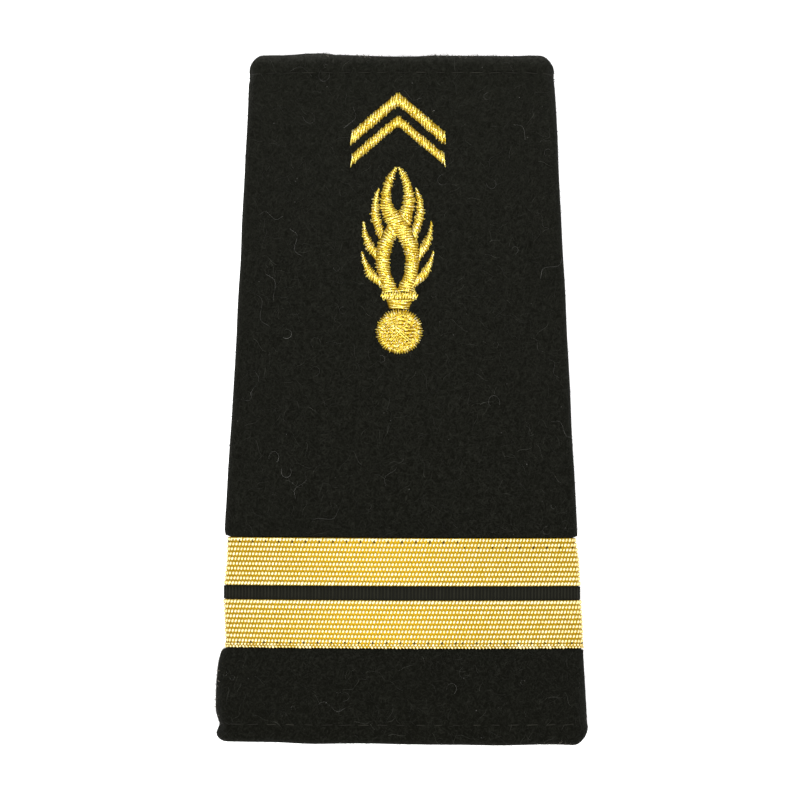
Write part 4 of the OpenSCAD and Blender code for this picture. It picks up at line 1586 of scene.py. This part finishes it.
# Threads across the middle, tilted more and less by turns
for k, level in enumerate(levels):
    half = math.sqrt(inner_share ** 2 - level ** 2)
    rise = 0.05 + 0.06 * (-1) ** k
    lines.append(across_ball((-half, level - rise), (half, level + rise),
                             0.06 * (k * 7 % 5) / 4 - 0.03, 0.1 * level))
# Slanting threads from the lower left
for k in range(slanting):
    turn = math.radians(172 + 6.4 * k)
    slope = math.radians(38 + 1.2 * k)
    x, y = inner_share * math.cos(turn), inner_share * math.sin(turn)
    run = 0.5 + 0.14 * ((k * 5) % 3)
    lines.append(across_ball((x, y), (x + run * math.cos(slope), y + run * math.sin(slope)),
                             0.04 + 0.05 * (k * 3 % 4) / 3))
# Arcs across the top
for k in range(arcs):
    x, y = 0.6 - 0.045 * k, 0.42 - 0.075 * k
    lines.append(across_ball((-x, y), (x, y + 0.03 * (-1) ** k), 0.05, 0.3 - 0.015 * k))
# Short spokes round the rim
for k in range(spokes):
    turn = 2 * math.pi * k / spokes
    zig = (1 if k % 2 else -1) * 0.74 * math.pi / spokes
    inner = inner_ends[k % len(inner_ends)]
    lines.append(ball_line(on_ball(turn - zig, 0.98), on_ball(turn + zig, inner),
                           0.03 + 0.05 * (k * 5 % 3) / 2, count=7))
# Long threads over them all, which are brighter
least_tones = [0.0] * len(lines) + [0.75] * len(long_threads)
for start, end in long_threads:
    lines.append(across_ball(start, end, 0.22))

rings = []
for share, rise in padding_rings:
    ring = []
    for turn in np.arange(ball_sides) * 2 * math.pi / ball_sides:
        x, y = on_ball(turn, share)
        ring.append((x, y, front_z(x, y) + lie_gap + rise * thread_lift))
    rings.append(ring[::-1])
badge["ball"] = stitched(
    "ball_threads", lines, np.array(rings), 150, pale=np.repeat(ring_tones, ball_sides),
    least=least_tones, most=0.3, ragged=0.2, sway=0.05, radius=ball_thread_r)
print("badge:", len(badge), "pieces")

# %% [markdown]
# ## Nap and lint
#
# Wool felt sheds fibres and catches lint. Short black fibres stand off its surface
# and soften its outline, most of all at the edges, where they are seen against the
# pale ground. Pale fibres lie curled on its face, and handling has frayed three
# places on its edges to a pale fuzz. Blender's hair could do this, but the
# export wants plain meshes. So one more tree scatters a few curled fibre forms, as
# thick as the felt's own mask says.

# %% Scatter tree
scatter, take, give = new_group(
    "scatter fibres", "GeometryNodeTree",
    [("Cloth", "Geometry", None), ("Fibre", "Object", None),
     ("Per Square Metre", "Float", 100000.0), ("Size", "Float", 1.0),
     ("Size Jitter", "Float", 0.4), ("Lean Least", "Float", 0.6),
     ("Lean Most", "Float", 1.5), ("Seed", "Int", 1), ("Material", "Material", None)],
    [("Geometry", "Geometry")])
share = node(scatter, "GeometryNodeInputNamedAttribute", {"Name": "share"},
             data_type="FLOAT")
places = node(scatter, "GeometryNodeDistributePointsOnFaces", {
    "Mesh": take["Cloth"], "Seed": take["Seed"], "Density": math_node(
        scatter, "MULTIPLY", share, take["Per Square Metre"])}, distribute_method="RANDOM")
upright = node(scatter, "FunctionNodeAlignRotationToVector", {
    "Vector": places.outputs["Normal"]}, axis="Z")


def random_between(tree, low, high, seed):
    """A random value for each point."""
    return node(tree, "FunctionNodeRandomValue", {"Min": low, "Max": high, "Seed": seed},
                data_type="FLOAT")


spin = node(scatter, "FunctionNodeAxisAngleToRotation", {
    "Axis": (0, 0, 1), "Angle": random_between(scatter, 0.0, 2 * math.pi, take["Seed"])})
tip = node(scatter, "FunctionNodeAxisAngleToRotation", {
    "Axis": (1, 0, 0), "Angle": random_between(
        scatter, take["Lean Least"], take["Lean Most"],
        math_node(scatter, "ADD", take["Seed"], 2))})
spun = node(scatter, "FunctionNodeRotateRotation", {"Rotation": upright, "Rotate By": spin},
            rotation_space="LOCAL")
leant = node(scatter, "FunctionNodeRotateRotation", {"Rotation": spun, "Rotate By": tip},
             rotation_space="LOCAL")
grow_by = math_node(scatter, "MULTIPLY", take["Size"], math_node(
    scatter, "ADD", 1.0, math_node(scatter, "MULTIPLY", random_between(
        scatter, -1.0, 1.0, math_node(scatter, "ADD", take["Seed"], 4)),
        take["Size Jitter"])))
fibres = node(scatter, "GeometryNodeInstanceOnPoints", {
    "Points": places.outputs["Points"], "Instance": node(
        scatter, "GeometryNodeObjectInfo", {"Object": take["Fibre"]}).outputs["Geometry"],
    "Rotation": leant, "Scale": grow_by})
toned = node(scatter, "GeometryNodeStoreNamedAttribute", {
    "Geometry": fibres, "Name": "tone", "Value": random_between(
        scatter, 0.0, 1.0, math_node(scatter, "ADD", take["Seed"], 6))},
    data_type="FLOAT", domain="INSTANCE")
real = node(scatter, "GeometryNodeRealizeInstances", {"Geometry": toned})
smooth = node(scatter, "GeometryNodeSetShadeSmooth", {0: real})
scatter.links.new(node(scatter, "GeometryNodeSetMaterial", {
    "Geometry": smooth, "Material": take["Material"]}).outputs[0], give.inputs[0])
print(scatter.name + ":", len(scatter.nodes), "nodes")

# %% [markdown]
# ## Fibres, and where they stand
#
# A fibre is a curled hair a few hundredths of a millimetre thick. A round tube would
# be wasted on it, so each form is a three-sided one through a few points. Painting
# by hand could say where fibres stand, but a few rules say it as well: nap on all
# felt that shows, and more of it at the edges, pale fuzz at the three frayed places
# only, and lint on the face.

# %% Fibre forms
def fibre_form(name, line, radius):
    """A thin three-sided thread through points, tapered to its end."""
    line = np.array(line, float)
    rings = []
    for i, p in enumerate(line):
        r = radius * (1 - 0.6 * i / (len(line) - 1))
        d = line[min(i + 1, len(line) - 1)] - line[max(i - 1, 0)]
        d /= np.linalg.norm(d)
        one = np.cross(d, (0.3, 0.2, 1) if abs(d[2]) < 0.9 else (1, 0, 0))
        one /= np.linalg.norm(one)
        two = np.cross(d, one)
        rings.append([p + r * (one * math.cos(t) + two * math.sin(t))
                      for t in (0, 2 * math.pi / 3, 4 * math.pi / 3)])
    n = len(line)
    faces = [(i * 3 + j, i * 3 + (j + 1) % 3, (i + 1) * 3 + (j + 1) % 3, (i + 1) * 3 + j)
             for i in range(n - 1) for j in range(3)]
    faces += [(2, 1, 0), (n * 3 - 3, n * 3 - 2, n * 3 - 1)]
    thing = mesh_object(name, np.concatenate(rings), faces)
    scene.collection.objects.unlink(thing)
    return thing


nap_form = fibre_form("nap_form", [(0, 0, -0.05), (0.02, 0.03, 0.12), (0.08, 0.02, 0.26),
                                   (0.1, -0.05, 0.38)], 0.022)
fuzz_form = fibre_form("fuzz_form", [(0, 0, -0.05), (0.06, 0.02, 0.18), (0.02, 0.14, 0.34),
                                     (-0.1, 0.18, 0.44), (-0.16, 0.1, 0.5)], 0.036)
lint_form = fibre_form("lint_form", [
    (0.6 * math.sin(3.4 * t) + 0.3 * math.sin(9 * t), 3.8 * t, 0.05 + 0.05 * math.sin(5 * t))
    for t in np.linspace(-0.5, 0.5, 15)], 0.016)
curl_form = fibre_form("curl_form", [
    (0.6 * math.cos(4.2 * t), 0.7 * math.sin(4.2 * t) + 0.3 * t, 0.04 + 0.06 * t)
    for t in np.linspace(0, 1, 12)], 0.016)
tangle_form = fibre_form("tangle_form", [
    (0.3 * math.sin(4 * t), 1.7 * t, 0.035 + 0.03 * math.cos(6 * t))
    for t in np.linspace(-0.5, 0.5, 6)], 0.02)
speck_form = lathe_form("speck_form", [(0.5, 0.5, -0.5), (0.45, 0.35, 0.5)], 5)
print("fibres:", nap_form.name, fuzz_form.name, lint_form.name, curl_form.name,
      tangle_form.name, speck_form.name)


# %% Masks of the felt
def masked(name, share):
    """A copy of the felt that carries how thickly fibres stand at each point."""
    thing = bpy.data.objects.new(name, felt_sleeve.data.copy())
    scene.collection.objects.link(thing)
    thing.data.attributes.new("share", "FLOAT", "POINT").data.foreach_set(
        "value", np.asarray(share, np.float32))
    return thing


# Heights over which the felt is its face, and clear of the floor
face_from_z, clear_from_z = 3.2, 0.8
# How far in from the sides and from the two ends the nap is thicker
side_reach, end_reach = 2.2, 1.6
# Frayed places, their middle and half length: on the left side along the board, and
# across it at the collar's end and at the outer end's right corner
side_fray, side_fray_half = 8.3, 5.8
top_fray_x, top_fray_half = 1.8, 16.0
corner_fray_x, corner_fray_half = 23.8, 3.6
# How far in from its edge each place is frayed, and how thickly the corner is
side_fray_in, top_fray_in, corner_fray_in = 0.3, 0.4, 0.3
corner_fray_share = 0.6
skin_count = 2 * len(edge_turns) + len(outside_run)
column = np.tile(np.arange(len(wall_line((0.0, 0.0)))), len(spots))
outer_skin = column < skin_count
skin_points = np.array([v.co[:] for v in felt_sleeve.data.vertices]) / MM
skin_along = skin_points[:, 1] + board_l / 2
off_ribbon = abs(skin_along - ribbon_mid) > ribbon_w / 2 + 0.3
on_face = skin_points[:, 2] > face_from_z
skin_half = (side(skin_along, left_bulge) + side(skin_along, right_bulge)) / 2
by_side = np.clip((abs(skin_points[:, 0]) - skin_half + side_reach) / side_reach, 0, 1)
by_end = np.clip(1 - np.minimum(skin_along, board_l - skin_along) / end_reach, 0, 1)
off_ground = skin_points[:, 2] > clear_from_z
open_skin = outer_skin & off_ribbon & off_ground
skin_middle = (side(skin_along, right_bulge) - side(skin_along, left_bulge)) / 2
at_left = skin_points[:, 0] - skin_middle + skin_half < side_fray_in


def fading(from_middle, half):
    """One in the middle of a place, and nothing at its two ends."""
    return np.clip(1 - (from_middle / half) ** 2, 0, 1)


left_fray = at_left * fading(skin_along - side_fray, side_fray_half)
top_fray = (skin_along > board_l - top_fray_in) * on_face * fading(
    skin_points[:, 0] - top_fray_x, top_fray_half)
corner_fray = (skin_along < corner_fray_in) * on_face * corner_fray_share * fading(
    skin_points[:, 0] - corner_fray_x, corner_fray_half)
print("felt's mesh:", int(open_skin.sum()), "points with nap,",
      int((left_fray + top_fray + corner_fray > 0).sum()), "frayed")


def scattered(name, share, form, amount, size, size_jitter, lean, seed, material):
    """One piece of fibres on the felt: the amount for each square metre, the share of
    it at each point, and the least and most lean in radians."""
    source = masked(name + "_mask", share)
    thing = grown(name, source, scatter, {
        "Fibre": form, "Per Square Metre": amount, "Size": size, "Size Jitter": size_jitter,
        "Lean Least": lean[0], "Lean Most": lean[1], "Seed": seed, "Material": material})
    drop(source)
    return thing


# %% Scatter the fibres
nap = scattered("felt_nap", open_skin * (0.35 + 0.65 * np.maximum(by_side, by_end)),
                nap_form, amount=9.0e5, size=1.0, size_jitter=0.5, lean=(0.5, 1.45),
                seed=61, material=nap_black)
frayed = np.maximum(np.maximum(left_fray, top_fray), corner_fray)
fray = scattered("felt_fray", outer_skin * off_ground * frayed, fuzz_form, amount=0.8e7,
                 size=0.62, size_jitter=0.5, lean=(0.0, 1.2), seed=63, material=frayed_grey)
tangle = scattered("felt_tangle", open_skin * on_face, tangle_form, amount=3.2e5, size=1.0,
                   size_jitter=0.6, lean=(-0.04, 0.04), seed=71, material=tangle_grey)
lint = [
    scattered("lint_long", open_skin * on_face, lint_form, amount=0.65e4, size=1.0,
              size_jitter=0.6, lean=(-0.03, 0.03), seed=65, material=lint_grey),
    scattered("lint_curls", open_skin * on_face, curl_form, amount=0.9e4, size=1.0,
              size_jitter=0.55, lean=(-0.05, 0.05), seed=67, material=lint_grey),
    scattered("lint_specks", open_skin * on_face, speck_form, amount=1.5e4, size=0.00011,
              size_jitter=0.6, lean=(-0.2, 0.2), seed=69, material=lint_grey)]

# %% [markdown]
# ## The pieces on the board
#
# Each piece rides on the board, and the node of the frame that it stands for, if
# any, is hidden. The felt was cut as a tapered sheet, with its hems let out.

# %% Ride and replace
def hand_over(piece, slot, *nodes):
    """Rides a piece on the board and hides the nodes it stands for. The slot is not used."""
    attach(piece, "root")
    if nodes:
        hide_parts(*nodes)


hand_over(felt_sleeve, "felt", "felt_sleeve")
hand_over(ribbon_ground, "ribbon_black", "ribbon_ground")
hand_over(bands[0], "ribbon_gold", "gold_band_upper")
hand_over(bands[1], "ribbon_gold", "gold_band_lower")
hand_over(ribs, "ribbon_black")
for name, piece in badge.items():
    hand_over(piece, "gold_thread", name)
for piece in seam_rows:
    hand_over(piece, "ribbon_gold")
for piece in hem_seams + [nap, fray, tangle] + lint:
    hand_over(piece, "felt")
